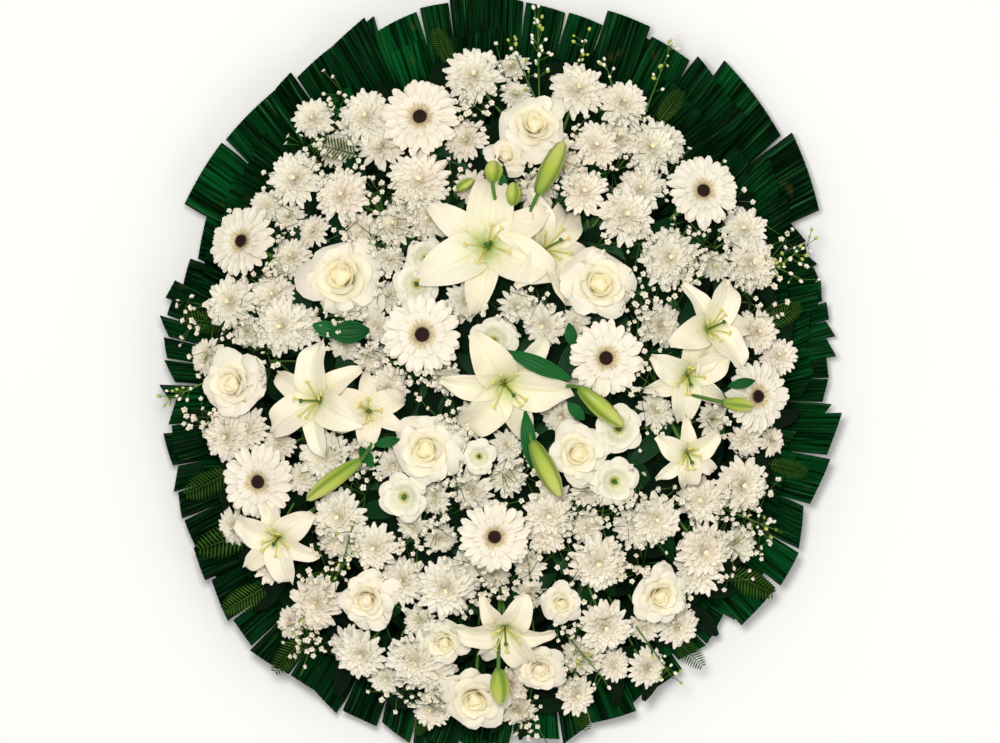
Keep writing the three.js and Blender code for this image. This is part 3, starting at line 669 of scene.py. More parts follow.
class Look:
    """A principled material, with short names for the nodes that it is made of."""

    def __init__(self, name, **sockets):
        self.material = bpy.data.materials.new(name)
        self.material.use_nodes = True
        self.tree = self.material.node_tree
        self.shader = next(node for node in self.tree.nodes if node.type == "BSDF_PRINCIPLED")
        self.fill(self.shader, {label.replace("_", " "): value for label, value in sockets.items()})

    def fill(self, node, sockets):
        """Gives each socket of a node its constant, or the link to another node's output."""
        for label, value in sockets.items():
            if isinstance(value, bpy.types.NodeSocket):
                self.tree.links.new(value, node.inputs[label])
            else:
                node.inputs[label].default_value = value

    def node(self, kind, sockets, output=0, **settings):
        """Adds a node of this kind and gives one of its outputs."""
        node = self.tree.nodes.new("ShaderNode" + kind)
        for name, value in settings.items():
            setattr(node, name, value)
        self.fill(node, sockets)
        return node.outputs[output]

    def note(self, label):
        """What the mesh says of itself: its share along, its share across or its tint."""
        return self.node("Attribute", {}, "Fac", attribute_name=label)

    def maths(self, operation, *values):
        return self.node("Math", dict(enumerate(values)), operation=operation)

    def times(self, first, second):
        return self.maths("MULTIPLY", first, second)

    def ramp(self, factor, *stops):
        """A colour ramp of (position, colour) stops."""
        node = self.tree.nodes.new("ShaderNodeValToRGB")
        elements = node.color_ramp.elements
        while len(elements) < len(stops):
            elements.new(0.5)
        for element, (position, colour) in zip(elements, stops):
            element.position = position
            element.color = (*colour, 1)
        self.fill(node, {"Fac": factor})
        return node.outputs["Color"]

    def between(self, factor, low, high):
        """Nothing up to low, and all of it from high on."""
        return self.ramp(factor, (low, (0, 0, 0)), (high, (1, 1, 1)))

    def mixed(self, factor, first, second):
        """Two colours mixed by factor, which is a socket or a number."""
        first, second = (
            colour if isinstance(colour, bpy.types.NodeSocket) else (*colour, 1)
            for colour in (first, second)
        )
        return self.node("Mix", {0: factor, 6: first, 7: second}, 2, data_type="RGBA")

    def noise(self, scale, detail=3.0, stretch=(1, 1, 1)):
        """Noise over the object's own coordinates."""
        place = self.node("TexCoord", {}, "Object")
        place = self.node("Mapping", {"Scale": stretch, "Vector": place})
        return self.node("TexNoise", {"Scale": scale, "Detail": detail, "Vector": place})

    def veined(self, lines):
        """Fine lines along a petal: a wave over its share across, broken up by noise."""
        wobble = self.times(self.noise(60), 1.5)
        return self.maths("SINE", self.maths("MULTIPLY_ADD", self.note("across"), lines, wobble))

    def line_at(self, level, width):
        """One where the share across is at level, falling to nothing over width."""
        away = self.maths("ABSOLUTE", self.maths("SUBTRACT", self.note("across"), level))
        return self.maths("SUBTRACT", 1.0, self.maths("DIVIDE", away, width))

    def streaks(self, fineness, length, low, high):
        """Long streaks that follow a blade: a ramp over noise in its own across and along."""
        scales = (("X", "across", fineness), ("Y", "along", length), ("Z", "tint", 30.0))
        place = self.node("CombineXYZ", {
            axis: self.times(self.note(label), scale) for axis, label, scale in scales
        })
        return self.between(self.node("TexNoise", {"Scale": 1, "Detail": 3, "Vector": place}), low, high)

    def done(self, colour, height, strength, distance):
        """Puts in the colour and the bumps, and gives the material."""
        bumps = {"Strength": strength, "Distance": distance, "Height": height}
        self.fill(self.shader, {"Base Color": colour, "Normal": self.node("Bump", bumps, "Normal")})
        return self.material


def petal_material(name, stops, shade, lines, roughness=0.5, deep=0.35, line=None, peach=0.4):
    """Petals: a ramp from base to tip, a shade for the inner petals, and fine veins.

    line is the level across, the width and the colour of a groove along the petal, and peach
    is how strongly some flowers are warmer than others."""
    look = Look(
        name, Roughness=roughness, Subsurface_Weight=0.12, Subsurface_Scale=0.006,
        Subsurface_Radius=(1.0, 0.85, 0.6), Sheen_Weight=0.05, Specular_IOR_Level=0.25,
    )
    base = look.ramp(look.note("along"), *stops)
    colour = look.mixed(look.times(look.note("tint"), deep), base, shade)
    mottle = look.maths("MULTIPLY_ADD", look.noise(45, 4), 0.3, -0.05)
    colour = look.mixed(mottle, colour, tuple(0.9 * value for value in stops[-1][1]))
    patches = look.times(look.between(look.noise(6, 2), 0.45, 0.62), peach)
    colour = look.mixed(patches, colour, (0.94, 0.82, 0.67))
    if line:
        level, width, groove = line
        colour = look.mixed(look.times(look.line_at(level, width), 0.8), colour, groove)
    return look.done(colour, look.veined(lines), 0.35, 0.0004)


def leaf_material(name, dark, light, lines=24.0, roughness=0.42):
    """Leaves: long fibres, and lighter patches that the tint of a leaf makes stronger."""
    look = Look(name, Roughness=roughness, Specular_IOR_Level=0.1)
    fibres = look.maths("MULTIPLY_ADD", look.veined(lines), 0.2, 0.4)
    patch = look.maths("MULTIPLY_ADD", look.noise(14, 4), 1.1, -0.25)
    amount = look.times(look.maths("ADD", fibres, look.note("tint")), patch)
    return look.done(look.mixed(amount, dark, light), look.veined(lines), 0.5, 0.0005)


def palm_material():
    """Dark palm leaf: fine ribs along the pleats, lighter outward with painted shade towards the base, with
    painted shadow streaks, painted highlight streaks and small brownish painted highlights.
    """
    look = Look("palm_leaf", Roughness=0.4, Specular_IOR_Level=0.06)
    ribs = look.maths("SINE", look.times(look.note("across"), 90.0))
    patch = look.between(look.noise(7, 4), 0.35, 0.65)
    amount = look.times(patch, look.maths("MULTIPLY_ADD", look.note("tint"), 0.8, 0.2))
    # Painted shade: the leaf darkens towards its base, where the flowers overhang it.
    outward = look.ramp(look.note("along"), (0.3, (0.1, 0.1, 0.1)), (0.8, (1, 1, 1)))
    colour = look.mixed(look.times(amount, outward), (0.001, 0.020, 0.004), (0.003, 0.155, 0.030))
    colour = look.mixed(look.maths("MULTIPLY_ADD", ribs, 0.25, 0.25), colour, (0.001, 0.008, 0.002))
    # Painted shadow streaks that darken the leaf, and painted highlight streaks that lighten it.
    shaded = (look.streaks(7, 1.2, 0.45, 0.56), 0.9, (0.0005, 0.005, 0.001))
    painted_highlight_streaks = (look.streaks(16, 1.6, 0.60, 0.70), 0.6, (0.035, 0.19, 0.05))
    # Small brownish painted highlights over fine noise.
    brown_painted_highlights = (look.between(look.noise(30, 5), 0.66, 0.74), 0.35, (0.12, 0.10, 0.02))
    for marks, strength, tone in (shaded, painted_highlight_streaks, brown_painted_highlights):
        colour = look.mixed(look.times(marks, strength), colour, tone)
    return look.done(colour, ribs, 0.4, 0.0006)


def grained_wood(name, dark, light, stretch):
    look = Look(name, Roughness=0.75, Specular_IOR_Level=0.3)
    fibres = look.noise(60, 3, stretch)
    colour = look.ramp(look.noise(14, 6, stretch), (0.35, dark), (0.65, light))
    return look.done(look.mixed(look.times(fibres, 0.35), colour, dark), fibres, 0.5, 0.0012)


def foam_material():
    """Wet floral foam: dark green with open pores."""
    look = Look("floral_foam", Roughness=0.9, Specular_IOR_Level=0.2)
    place = look.node("TexCoord", {}, "Object")
    pores = look.node("TexVoronoi", {"Scale": 420, "Vector": place}, "Distance")
    colour = look.ramp(pores, (0.1, (0.012, 0.05, 0.02)), (0.7, (0.05, 0.16, 0.06)))
    colour = look.mixed(look.times(look.noise(9, 4), 0.6), colour, (0.02, 0.07, 0.025))
    return look.done(colour, pores, 0.8, 0.001)


def speckled(name, dark, light, roughness):
    """A small plain part with a fine variation in its colour."""
    fine = 600
    look = Look(name, Roughness=roughness)
    colour = look.mixed(look.note("tint"), look.mixed(look.noise(fine), dark, light), light)
    return look.done(colour, look.noise(fine, 2), 0.3, 0.0003)


WHITE = (0.90, 0.845, 0.70)
CREAM = (0.90, 0.83, 0.59)


def flower_materials():
    """The slots of each kind of flower: petal, heart, eye, stem, bud and leaf."""
    stem = leaf_material("stem_green", (0.03, 0.12, 0.02), (0.20, 0.34, 0.06), roughness=0.5)
    leaf = leaf_material("stem_leaf", (0.002, 0.020, 0.005), (0.010, 0.085, 0.020))
    bud_skin = petal_material(
        "bud_skin", ((0.0, (0.14, 0.26, 0.02)), (0.45, (0.42, 0.50, 0.06)), (1.0, (0.66, 0.64, 0.20))),
        (0.22, 0.34, 0.02), 6, roughness=0.38, deep=0.4, peach=0, line=(-1, 0.9, (0.10, 0.20, 0.01)),
    )
    yellow = speckled("stamen_yellow", (0.46, 0.42, 0.06), (0.78, 0.66, 0.16), 0.6)
    tan = speckled("gerbera_tan", (0.34, 0.22, 0.09), (0.80, 0.68, 0.42), 0.6)
    brown = speckled("gerbera_eye", (0.006, 0.001, 0.001), (0.032, 0.006, 0.003), 0.9)
    green_heart = speckled("chrysanthemum_heart", (0.70, 0.70, 0.36), (0.88, 0.86, 0.60), 0.7)
    gerbera_petal = petal_material(
        "gerbera_petal", ((0.0, (0.70, 0.58, 0.33)), (0.22, (0.85, 0.79, 0.62)), (0.6, WHITE)),
        (0.86, 0.80, 0.64), 9,
    )
    lily_petal = petal_material(
        "lily_petal", ((0.0, (0.20, 0.34, 0.03)), (0.12, (0.50, 0.62, 0.18)), (0.26, (0.85, 0.83, 0.55)),
                       (0.5, (0.89, 0.83, 0.64)), (1.0, (0.89, 0.82, 0.66))),
        (0.85, 0.75, 0.42), 16, roughness=0.45, deep=0.3, line=(0, 0.10, (0.74, 0.74, 0.40)),
    )
    rose_petal = petal_material(
        "rose_petal", ((0.0, (0.80, 0.74, 0.36)), (0.4, CREAM), (1.0, WHITE)),
        (0.92, 0.82, 0.44), 12, deep=0.6,
    )
    lisianthus_petal = petal_material(
        "lisianthus_petal", ((0.0, (0.42, 0.50, 0.12)), (0.3, (0.82, 0.81, 0.58)), (1.0, WHITE)),
        (0.85, 0.82, 0.62), 12,
    )
    chrysanthemum_petal = petal_material(
        "chrysanthemum_petal",
        ((0.0, (0.80, 0.76, 0.47)), (0.3, (0.91, 0.86, 0.70)), (1.0, (0.92, 0.88, 0.78))),
        (0.91, 0.83, 0.56), 5, deep=0.45,
    )
    kinds = {
        "gerbera": (gerbera_petal, tan),
        "lily": (lily_petal, yellow),
        "rose": (rose_petal, yellow),
        "lisianthus": (lisianthus_petal, yellow),
        "chrysanthemum": (chrysanthemum_petal, green_heart),
    }
    return {kind: (petal, heart, brown, stem, bud_skin, leaf) for kind, (petal, heart) in kinds.items()}


MATERIALS = flower_materials()


# ---- the flowers --------------------------------------------------------------------------------

# The middle and radius of each in millimetres, then a gerbera's lean or a rose's openness
GERBERAS = [head("gerbera", *place, lean=lean) for *place, lean in (
    (-99, 328, 52, 0.8), (-329, 168, 49, 1.5), (-95, 47, 53, 0.8), (139, 17, 50, 0.8),
    (266, 233, 48, 0.8), (-307, -142, 50, 0.8), (-3, -211, 47, 0.8), (335, -32, 48, 1.4),
)]
ROSES = [head("rose", *place, openness=openness) for *place, openness in (
    (49, 318, 44, 0.6), (-199, 122, 53, 0.9), (131, 112, 46, 0.8), (-342, -16, 42, 0.4),
    (-91, -100, 44, 0.7), (104, -105, 38, 0.5), (-168, -295, 38, 0.5), (-29, -425, 42, 0.7),
    (211, -290, 36, 0.6),
)]
LISIANTHUS = [head("lisianthus", -120, -162, 30), head("lisianthus", 152, -142, 30)]

# The open flowers and the buds of each lily stem
LILIES = [
    (
        [head("lily", -12, 164, 84, face=(0, 0.1)),
         head("lily", 72, 162, 70, face=(0.55, 0.25), lift=-26)],
        [bud((-6, 242), (-4, 270), 12), bud((52, 226), (86, 296), 13)],
    ),
    (
        [head("lily", -240, -36, 66, face=(-0.55, 0.05)),
         head("lily", -164, -49, 46, face=(0.1, 0.1), lift=-18)],
        [bud((-173, -113), (-244, -165), 11)],
    ),
    (
        [head("lily", 14, -24, 74, face=(0.2, -0.35))],
        [bud((104, -20), (161, -70), 12), bud((44, -88), (81, -160), 13)],
    ),
    (
        [head("lily", 283, 58, 60, face=(0.6, 0.2)),
         head("lily", 247, -10, 54, face=(0.1, -0.3), lift=-14),
         head("lily", 247, -110, 44, face=(0.2, -0.4))],
        [bud((289, -39), (330, -45), 9)],
    ),
    ([head("lily", 10, -342, 58, face=(0, -0.8))], [bud((2, -382), (4, -428), 13)]),
    ([head("lily", -286, -220, 54, face=(-0.2, -0.3))], []),
]

SPRAYS = [[head("chrysanthemum", *place) for place in spray] for spray in (
    [(-262, 250, 37), (-200, 228, 37), (-170, 330, 38), (-100, 246, 42)],
    [(-30, 384, 40), (104, 366, 38), (164, 348, 34), (128, 292, 32)],
    [(200, 290, 38), (166, 202, 40), (112, 232, 32)],
    [(222, 146, 40), (330, 140, 38)],
    [(-346, 90, 36), (-278, 58, 38)],
    [(-350, -84, 35), (-222, -108, 35)],
    [(-204, -186, 36), (-158, -226, 32), (-234, -300, 38)],
    [(-66, -280, 40), (-106, -374, 38), (-176, -366, 34)],
    [(130, -246, 38), (140, -330, 36), (66, -184, 34)],
    [(268, -232, 38), (317, -147, 38), (204, -190, 35)],
)]


def finish_flower(bloom, name, kind, *nodes):
    bloom.finish(name, f"{kind}_petal", MATERIALS[kind], *nodes)


def add_flowers():
    """Grows every named plant, gives them their leaves, and puts each in place of its node."""
    groups = (
        ("gerbera", "gerbera", 3.5, [([item], ()) for item in GERBERAS]),
        ("lily", "lily_stem", 4, LILIES),
        ("rose", "rose", 3.5, [([item], ()) for item in ROSES]),
        ("lisianthus", "lisianthus", 3, [([item], ()) for item in LISIANTHUS]),
        ("chrysanthemum", "chrysanthemum_spray", 3, [(spray, ()) for spray in SPRAYS]),
    )
    names = []
    plants = []
    for kind, node, stem, items in groups:
        for index, (heads, buds) in enumerate(items, 1):
            bloom = Bloom()
            rng = np.random.default_rng(100 + len(plants))
            plants.append((bloom, plant(bloom, rng, heads, buds, stem)))
            names.append((kind, f"{node}_{index}"))
    add_stem_leaves(plants)
    for (kind, node), (bloom, _) in zip(names, plants):
        finish_flower(bloom, f"{node}_in_bloom", kind, node)


# ---- the collar of palm leaves ------------------------------------------------------------------

COLLAR_HALF_WIDTH = 434
COLLAR_HALF_HEIGHT = 490
LEAF_BASE_HALF_WIDTH = 266
LEAF_BASE_HALF_HEIGHT = 311
LEAF_BASE_CENTRE_Y = -12
PLEAT_WIDTH = 7.0

# The height of a layer of leaves at their bases, and how far they rise to their tips
BACK_LAYER = (31.2, 14)
FRONT_LAYER = (37, 31)

# Each leaf's middle and half spread in degrees, its reach, and how many fingers it splits into
LEAVES = [
    (5, 15, 1.006, 9), (26, 14, 0.99, 5), (42, 14, 1.07, 2), (61, 14, 1.03, 4),
    (81, 14, 1.0, 4), (102, 14, 1.0, 4), (122, 14, 1.01, 4), (138, 14, 1.03, 2),
    (158, 15, 0.98, 4), (181, 16, 1.0, 9), (205, 16, 1.02, 6), (228, 16, 1.03, 5),
    (252, 16, 1.03, 5), (278, 17, 1.0, 5), (305, 17, 0.97, 6), (334, 20, 1.02, 5),
]


def on_oval(angle, half_width, half_height, reach=1.0):
    """The points at these angles of an oval, out to the share reach of it."""
    direction = np.stack([np.cos(angle), np.sin(angle)])
    return reach / np.hypot(direction[0] / half_width, direction[1] / half_height) * direction


def pleated_leaf(bloom, rng, middle, half, reach, layer, fingers, skew=0.0, split=0.6):
    """A palm leaf cut to a fan: pleats run from the base oval to the cut ends of its fingers."""
    height, rise = layer
    edges = np.linspace(-1, 1, fingers + 1)
    edges[1:-1] += rng.uniform(-0.45, 0.45, fingers - 1) / fingers
    share = np.linspace(0, 1, 9)[:, None]
    for low, high in zip(edges[:-1], edges[1:]):
        width = math.radians(half) * (high - low) * COLLAR_HALF_WIDTH
        columns = 2 * max(3, round(width / PLEAT_WIDTH)) + 1
        side = np.linspace(-1, 1, columns)[None, :]
        start = rng.uniform(split, 0.92)
        part = rng.uniform(0.02, 0.12) * smooth_step((share - start) / (1 - start))
        span = (low + high) / 2 + (high - low) / 2 * side * (1 - part)
        cut = reach * (1.015 - rng.uniform(0, 0.03) + rng.uniform(-0.018, 0.018) * side)
        base_angle = np.radians(middle + 0.75 * half * span)
        base = on_oval(base_angle, LEAF_BASE_HALF_WIDTH, LEAF_BASE_HALF_HEIGHT)
        base[1] += LEAF_BASE_CENTRE_Y
        end_angle = np.radians(middle + skew + half * span)
        end = on_oval(end_angle, COLLAR_HALF_WIDTH, COLLAR_HALF_HEIGHT, cut)
        flat = base + (end - base) * share
        fold = (np.arange(columns)[None, :] % 2 * 2 - 1) * 2.0 * share ** 0.5
        tilt = rng.normal(0, 3.0) * side * share + rng.normal(0, 3.0) * share
        bow = 5 * np.sin(math.pi * share) + 3 * np.sin(2.5 * side + rng.uniform(0, TURN)) * share
        z = height + rise * share ** 1.4 + fold + tilt + bow
        grid = np.stack([flat[0], flat[1], z], -1)[None] * MM
        bloom.sheets(grid, BLADE, tint=rng.uniform(0, 1), thickness=0.35 * MM)


def add_collar(palm):
    for index, (middle, half, reach, fingers) in enumerate(LEAVES, 1):
        rng = np.random.default_rng(600 + index)
        layer = BACK_LAYER if index % 2 else FRONT_LAYER
        bloom = Bloom()
        pleated_leaf(bloom, rng, middle, half, reach, layer, fingers, rng.uniform(-3, 3))
        node = f"palm_leaf_{index}"
        bloom.finish(f"{node}_blades", "palm_leaf", [palm], node, smooth=False)
    rng = np.random.default_rng(700)
    bloom = Bloom()
    count = 18
    for number in range(count):
        middle = 360 / count * (number + rng.uniform(-0.3, 0.3))
        layer = (33 + 10 * (number % 2), 22 + 18 * (number % 2))
        pleated_leaf(bloom, rng, middle, rng.uniform(7, 11), rng.uniform(0.86, 0.95), layer,
                     rng.integers(2, 5), rng.uniform(-7, 7), 0.4)
    bloom.finish("palm_offcuts", "palm_leaf", [palm], smooth=False)


# ---- filler flowers and greenery ----------------------------------------------------------------

FILLERS_PER_PIECE = 12
MORE_ROSES = [head("rose", *place, lift=lift, openness=openness) for *place, lift, openness in (
    (12, 278, 28, -10, 0.4), (55, -385, 32, -8, 0.7), (-68, -350, 30, -8, 0.6), (83, -299, 26, -8, 0.5),
)]
MORE_LISIANTHUS = [head("lisianthus", *place) for place in (
    (157, -74, 30), (-104, 113, 29), (-4, 40, 29), (-92, 146, 25), (-23, -109, 22),
)]
MORE_CHRYSANTHEMUMS = [head("chrysanthemum", *place, lift=-12, fullness=6) for place in (
    (156, 302, 30), (220, 300, 30), (321, 185, 32), (338, 52, 30), (-255, 59, 32), (-378, 20, 26),
    (-324, -74, 30), (-204, -216, 32), (-121, -270, 34), (-47, -263, 32), (62, -203, 32),
    (135, -244, 32), (261, -260, 32), (-190, -359, 32), (-79, -387, 32), (-87, 198, 32),
    (186, 237, 32), (264, -166, 32), (69, -166, 30), (-130, 190, 32), (-240, 330, 28),
    (-150, 290, 32), (-40, 300, 30), (210, 60, 32), (60, 60, 30), (-40, 90, 28),
    (-290, 100, 30), (-140, -20, 28), (-30, -60, 26), (180, -200, 30), (-290, -250, 28),
)]

# The middle of each cloud of gypsophila, its branches, and the twigs on each of them
CLOUD_BRANCHES = 6
CLOUD_TWIGS = 8
CLOUDS = [
    (-286, 181), (-295, 110), (-152, 29), (-217, 315), (103, 277), (186, 172), (281, 161), (337, 122),
    (186, 94), (-48, -166), (30, -140), (202, -177), (281, -221), (134, -192), (-130, -369),
    (-100, -205), (-243, -361), (-87, 198), (-170, 200), (-40, 110), (-150, 160), (330, 90),
    (200, 10), (60, 220), (230, 270), (170, 330), (-30, 350), (-300, 30), (-200, -90), (-60, 10),
    (-60, -60), (80, -230), (10, -280), (190, -250), (120, -370), (-30, -300), (-170, -160),
    (-220, -260), (320, -190), (240, -60), (-370, 60), (-360, -60), (240, 110), (-250, 280),
    (40, -440), (-100, -430), (-190, 60), (50, 110), (-10, 210),
]


def floret():
    """A gypsophila floret: a small ball of ruffled petals on its green cup, facing +Z."""
    rng = np.random.default_rng(7)
    bloom = Bloom()
    for count, length, rise, droop, start in ((5, 3.4, 0.5, 0.5, 0.4), (2, 2.6, 1.1, 0.9, 0.2)):
        bloom.petals(
            PETAL, AS_MADE, ring_of(rng, count, rng.uniform(0, 1)), 3, 3, fan, size=MM,
            length=length, width=4.4, start=start, rise=rise, droop=droop, cup=0.4, ruffle=0.05,
            phase=rng.uniform(0, TURN, count), tint=rng.uniform(0, 1, count), thickness=0.3 * MM,
        )
    bloom.turned([(0, -2.6), (1.1, -0.8), (0, 0.6)], STEM, AS_MADE, 4, MM)
    return bloom


def has_room(heads, x, y):
    """Whether a floret at (x, y) keeps off the middles of the flowers and inside the collar."""
    for item in heads:
        share = 0.5 if item["kind"] == "chrysanthemum" else 0.9
        if math.hypot(x - item["x"], y - item["y"]) <= share * item["radius"]:
            return False
    return math.hypot(x / COLLAR_HALF_WIDTH, y / COLLAR_HALF_HEIGHT) <= 0.98


def add_gypsophila(heads):
    """Clouds of tiny white flowers on thin branching stems between the large flowers."""
    pattern = floret()
    half = len(CLOUDS) // 2
    for part, centres in enumerate((CLOUDS[:half], CLOUDS[half:]), 1):
        rng = np.random.default_rng(800 + part)
        bloom = Bloom()
        places = []
        for centre in centres:
            fork = on_dome(*centre, -38)
            bloom.tube([on_dome(*centre, -60), fork], 1.0 * MM, STEM, 4)
            for _ in range(CLOUD_BRANCHES):
                knot_x = centre[0] + rng.normal(0, 26)
                knot_y = centre[1] + rng.normal(0, 26)
                knot = on_dome(knot_x, knot_y, rng.uniform(-34, -20))
                bloom.tube([fork, knot], 0.7 * MM, STEM, 3)
                for _ in range(CLOUD_TWIGS):
                    x = knot_x + rng.normal(0, 14)
                    y = knot_y + rng.normal(0, 14)
                    if has_room(heads, x, y):
                        tip = on_dome(x, y, rng.uniform(4, 26))
                        bloom.tube([knot, tip], 0.45 * MM, STEM, 3)
                        facing = dome_facing(x, y) + Vector(rng.normal(0, 0.35, 3))
                        place = placed(tip, facing, rng.uniform(0, TURN))
                        place[:3, :3] *= rng.uniform(0.8, 1.35)
                        places.append(place)
        bloom.copies(pattern, places)
        finish_flower(bloom, f"gypsophila_{part}", "chrysanthemum")


def turned_away(item):
    """The same small flower, facing a little away from the dome's own direction."""
    out = dome_facing(item["x"], item["y"])
    wobble_x = 0.4 * math.sin(0.11 * item["x"] + 0.07 * item["y"])
    wobble_y = 0.4 * math.cos(0.09 * item["x"] - 0.13 * item["y"])
    return dict(item, face=(out.x / out.z + wobble_x, out.y / out.z + wobble_y))


def gap_fillers(heads):
    """More chrysanthemums wherever the other heads leave a wide enough gap."""
    found = []
    count = 900
    for number in range(count):
        x, y = scattered(number, count, 0.98)
        radius = 26 + 4 * math.sin(number)
        if all(
            math.hypot(x - item["x"], y - item["y"]) > 0.72 * (item["radius"] + radius)
            for item in heads + found
        ):
            found.append(head("chrysanthemum", x, y, radius, lift=-20, fullness=5))
    return found


def add_fillers(named):
    """Smaller flowers set between the named ones. Returns them."""
    kinds = {"rose": MORE_ROSES, "lisianthus": MORE_LISIANTHUS, "chrysanthemum": MORE_CHRYSANTHEMUMS}
    taken = named + sum(kinds.values(), [])
    kinds["chrysanthemum"] = [turned_away(item) for item in MORE_CHRYSANTHEMUMS + gap_fillers(taken)]
    for kind, items in kinds.items():
        for first in range(0, len(items), FILLERS_PER_PIECE):
            bloom = Bloom()
            for number, item in enumerate(items[first:first + FILLERS_PER_PIECE], first):
                plant(bloom, np.random.default_rng(900 + number), [item], (), 2.2)
            finish_flower(bloom, f"small_{kind}_{first // FILLERS_PER_PIECE + 1}", kind)
    return sum(kinds.values(), [])


def add_underlay(leaf):
    """Near-black leaves that close the space between the flowers and hide the foam; their near-black colour
    is painted shade for the deep gaps.
    """
    rng = np.random.default_rng(1000)
    bloom = Bloom()
    count = 420
    for number in range(count):
        x, y = scattered(number, count, 0.98)
        foot = on_dome(x, y, rng.uniform(-62, -42))
        place = placed(foot, dome_facing(x, y, 1.2), rng.uniform(0, TURN))
        bloom.petals(
            BLADE, place, [0.0], 8, 5, needle,
            length=rng.uniform(60, 95) * MM, width=rng.uniform(18, 30) * MM, start=-0.03,
            rise=rng.uniform(0, 0.35), droop=rng.uniform(-0.4, 0.1), cup=0.3, groove=0.04,
            ruffle=0.05, phase=rng.uniform(0, TURN), tint=rng.uniform(0, 0.5), thickness=0.4 * MM,
        )
    bloom.finish("painted_shade_leaves", "palm_leaf", [leaf])


def add_ferns(leaf):
    """Fern fronds laid over the collar: foot and tip in millimetres, with their height."""
    rng = np.random.default_rng(1100)
    bloom = Bloom()
    fronds = [
        ((-310, -205), (-388, -232), 95), ((-300, -280), (-356, -312), 90), ((-180, 280), (-240, 296), 150),
        ((-345, -130), (-405, -160), 95), ((-250, -345), (-290, -392), 88), ((-90, -430), (-105, -474), 85),
        ((345, 60), (395, 85), 110), ((300, -260), (360, -290), 92), ((230, -345), (268, -385), 88),
        ((-350, 60), (-408, 70), 98), ((-60, 400), (-80, 445), 110), ((210, 325), (240, 365), 108),
        ((100, -425), (118, -468), 85), ((355, -120), (404, -132), 98),
    ]
    joints = 16
    for foot, tip, height in fronds:
        foot = Vector((*foot, height)) * MM
        tip = Vector((*tip, height - 12)) * MM
        route = arched(foot, tip, 14, joints)
        bloom.tube(route, np.linspace(1.1, 0.4, joints) * MM, BLADE, 4)
        run = tip - foot
        for step in range(1, joints):
            length = 0.29 * math.sin(math.pi * (0.15 + 0.8 * step / joints)) ** 0.8
            for hand in (-1, 1):
                place = placed(route[step], (0, 0, 1), math.atan2(run.y, run.x) + hand * 1.15)
                bloom.petals(
                    BLADE, place, [0.0], 5, 3, needle, size=run.length, length=length, width=0.034,
                    rise=rng.uniform(-0.1, 0.3), droop=rng.uniform(-0.5, 0.0), cup=0.2,
                    tint=rng.uniform(0.2, 1), thickness=0.3 * MM,
                )
    bloom.finish("fern_fronds", "palm_leaf", [leaf])


def add_lily_leaves(leaf):
    """Single lily leaves beside the flowers: foot and tip in millimetres, width and lift."""
    rng = np.random.default_rng(1200)
    bloom = Bloom()
    leaves = [
        ((12, 26), (92, -9), 22, 52), ((-215, 48), (-170, 52), 30, 34), ((-236, 60), (-206, 50), 22, 30),
        ((296, -19), (330, -12), 14, 44), ((92, 62), (96, 36), 16, 26), ((-157, -94), (-130, -88), 14, 24),
        ((36, -50), (44, -120), 20, 34), ((-175, -96), (-160, -120), 16, 24), ((90, -40), (110, -60), 16, 30),
        ((-8, 262), (10, 240), 14, 30),
    ]
    for foot, tip, width, lift in leaves:
        start = on_dome(*foot, lift - 12)
        run = on_dome(*tip, lift) - start
        bloom.petals(
            BLADE, placed(start, (0, 0, 1), math.atan2(run.y, run.x)), [0.0], 12, 7, needle,
            length=run.length * 1.05, width=width * MM, rise=0.25, droop=-0.35, cup=0.35,
            groove=0.04, tint=rng.uniform(0.3, 1),
        )
    bloom.finish("lily_leaves", "palm_leaf", [leaf])


def add_small_buds():
    """Two young lily buds on short stalks beside the top lily."""
    bloom = Bloom()
    for spec in (bud((20, 212), (21, 242), 10, 30), bud((-52, 232), (-30, 246), 7, 18)):
        end = add_bud(bloom, spec)
        foot = end["heel"]
        root = foot + Vector((0, -12, -60)) * MM
        bloom.tube(curve_through(root, foot - end["facing"] * 10 * MM, foot), 2.2 * MM, STEM, 6)
    finish_flower(bloom, "young_lily_buds", "lily")


def add_sprigs():
    """Upright sprigs of small pale buds, mostly round the edge: foot, tip and number of buds."""
    rng = np.random.default_rng(1300)
    bloom = Bloom()
    sprigs = [
        ((55, 340), (53, 455), 22), ((90, 350), (115, 430), 14), ((60, 330), (20, 420), 12),
        ((190, 330), (225, 420), 14), ((150, 370), (142, 398), 6), ((340, 120), (405, 165), 16),
        ((330, 150), (398, 120), 14), ((-262, -170), (-300, -235), 14), ((-180, -180), (-200, -250), 16),
        ((-370, -10), (-425, -35), 12), ((300, -180), (372, -210), 12), ((180, -330), (230, -400), 10),
        ((-230, -290), (-262, -330), 8), ((90, -340), (140, -400), 10),
    ]
    bead = [(0, 0), (1.7, 1.6), (2.1, 3.4), (1.2, 5.2), (0, 5.8)]
    joints = 12
    for foot, tip, count in sprigs:
        start, end = on_dome(*foot, -10), on_dome(*tip, -10)
        end.z = max(end.z, 95 * MM)
        route = arched(start, end, 22, joints)
        bloom.tube(route, np.linspace(1.3, 0.6, joints) * MM, STEM, 5)
        for _ in range(count):
            fork = Vector(route[rng.integers(4, joints)])
            away = Vector(rng.normal(0, 1, 3))
            away.z = abs(away.z)
            away = away.normalized() * rng.uniform(6, 15) * MM + (end - start) * 0.08
            bloom.tube([fork, fork + away], 0.5 * MM, STEM, 3)
            size = rng.uniform(0.8, 1.3) * MM
            slot = BUD if rng.uniform() < 0.45 else PETAL
            bloom.turned(bead, slot, placed(fork + away, away), 7, size, tint=rng.uniform(0, 1))
    finish_flower(bloom, "bud_sprigs", "chrysanthemum")


# ---- the support, which stays as the CAD has it -------------------------------------------------

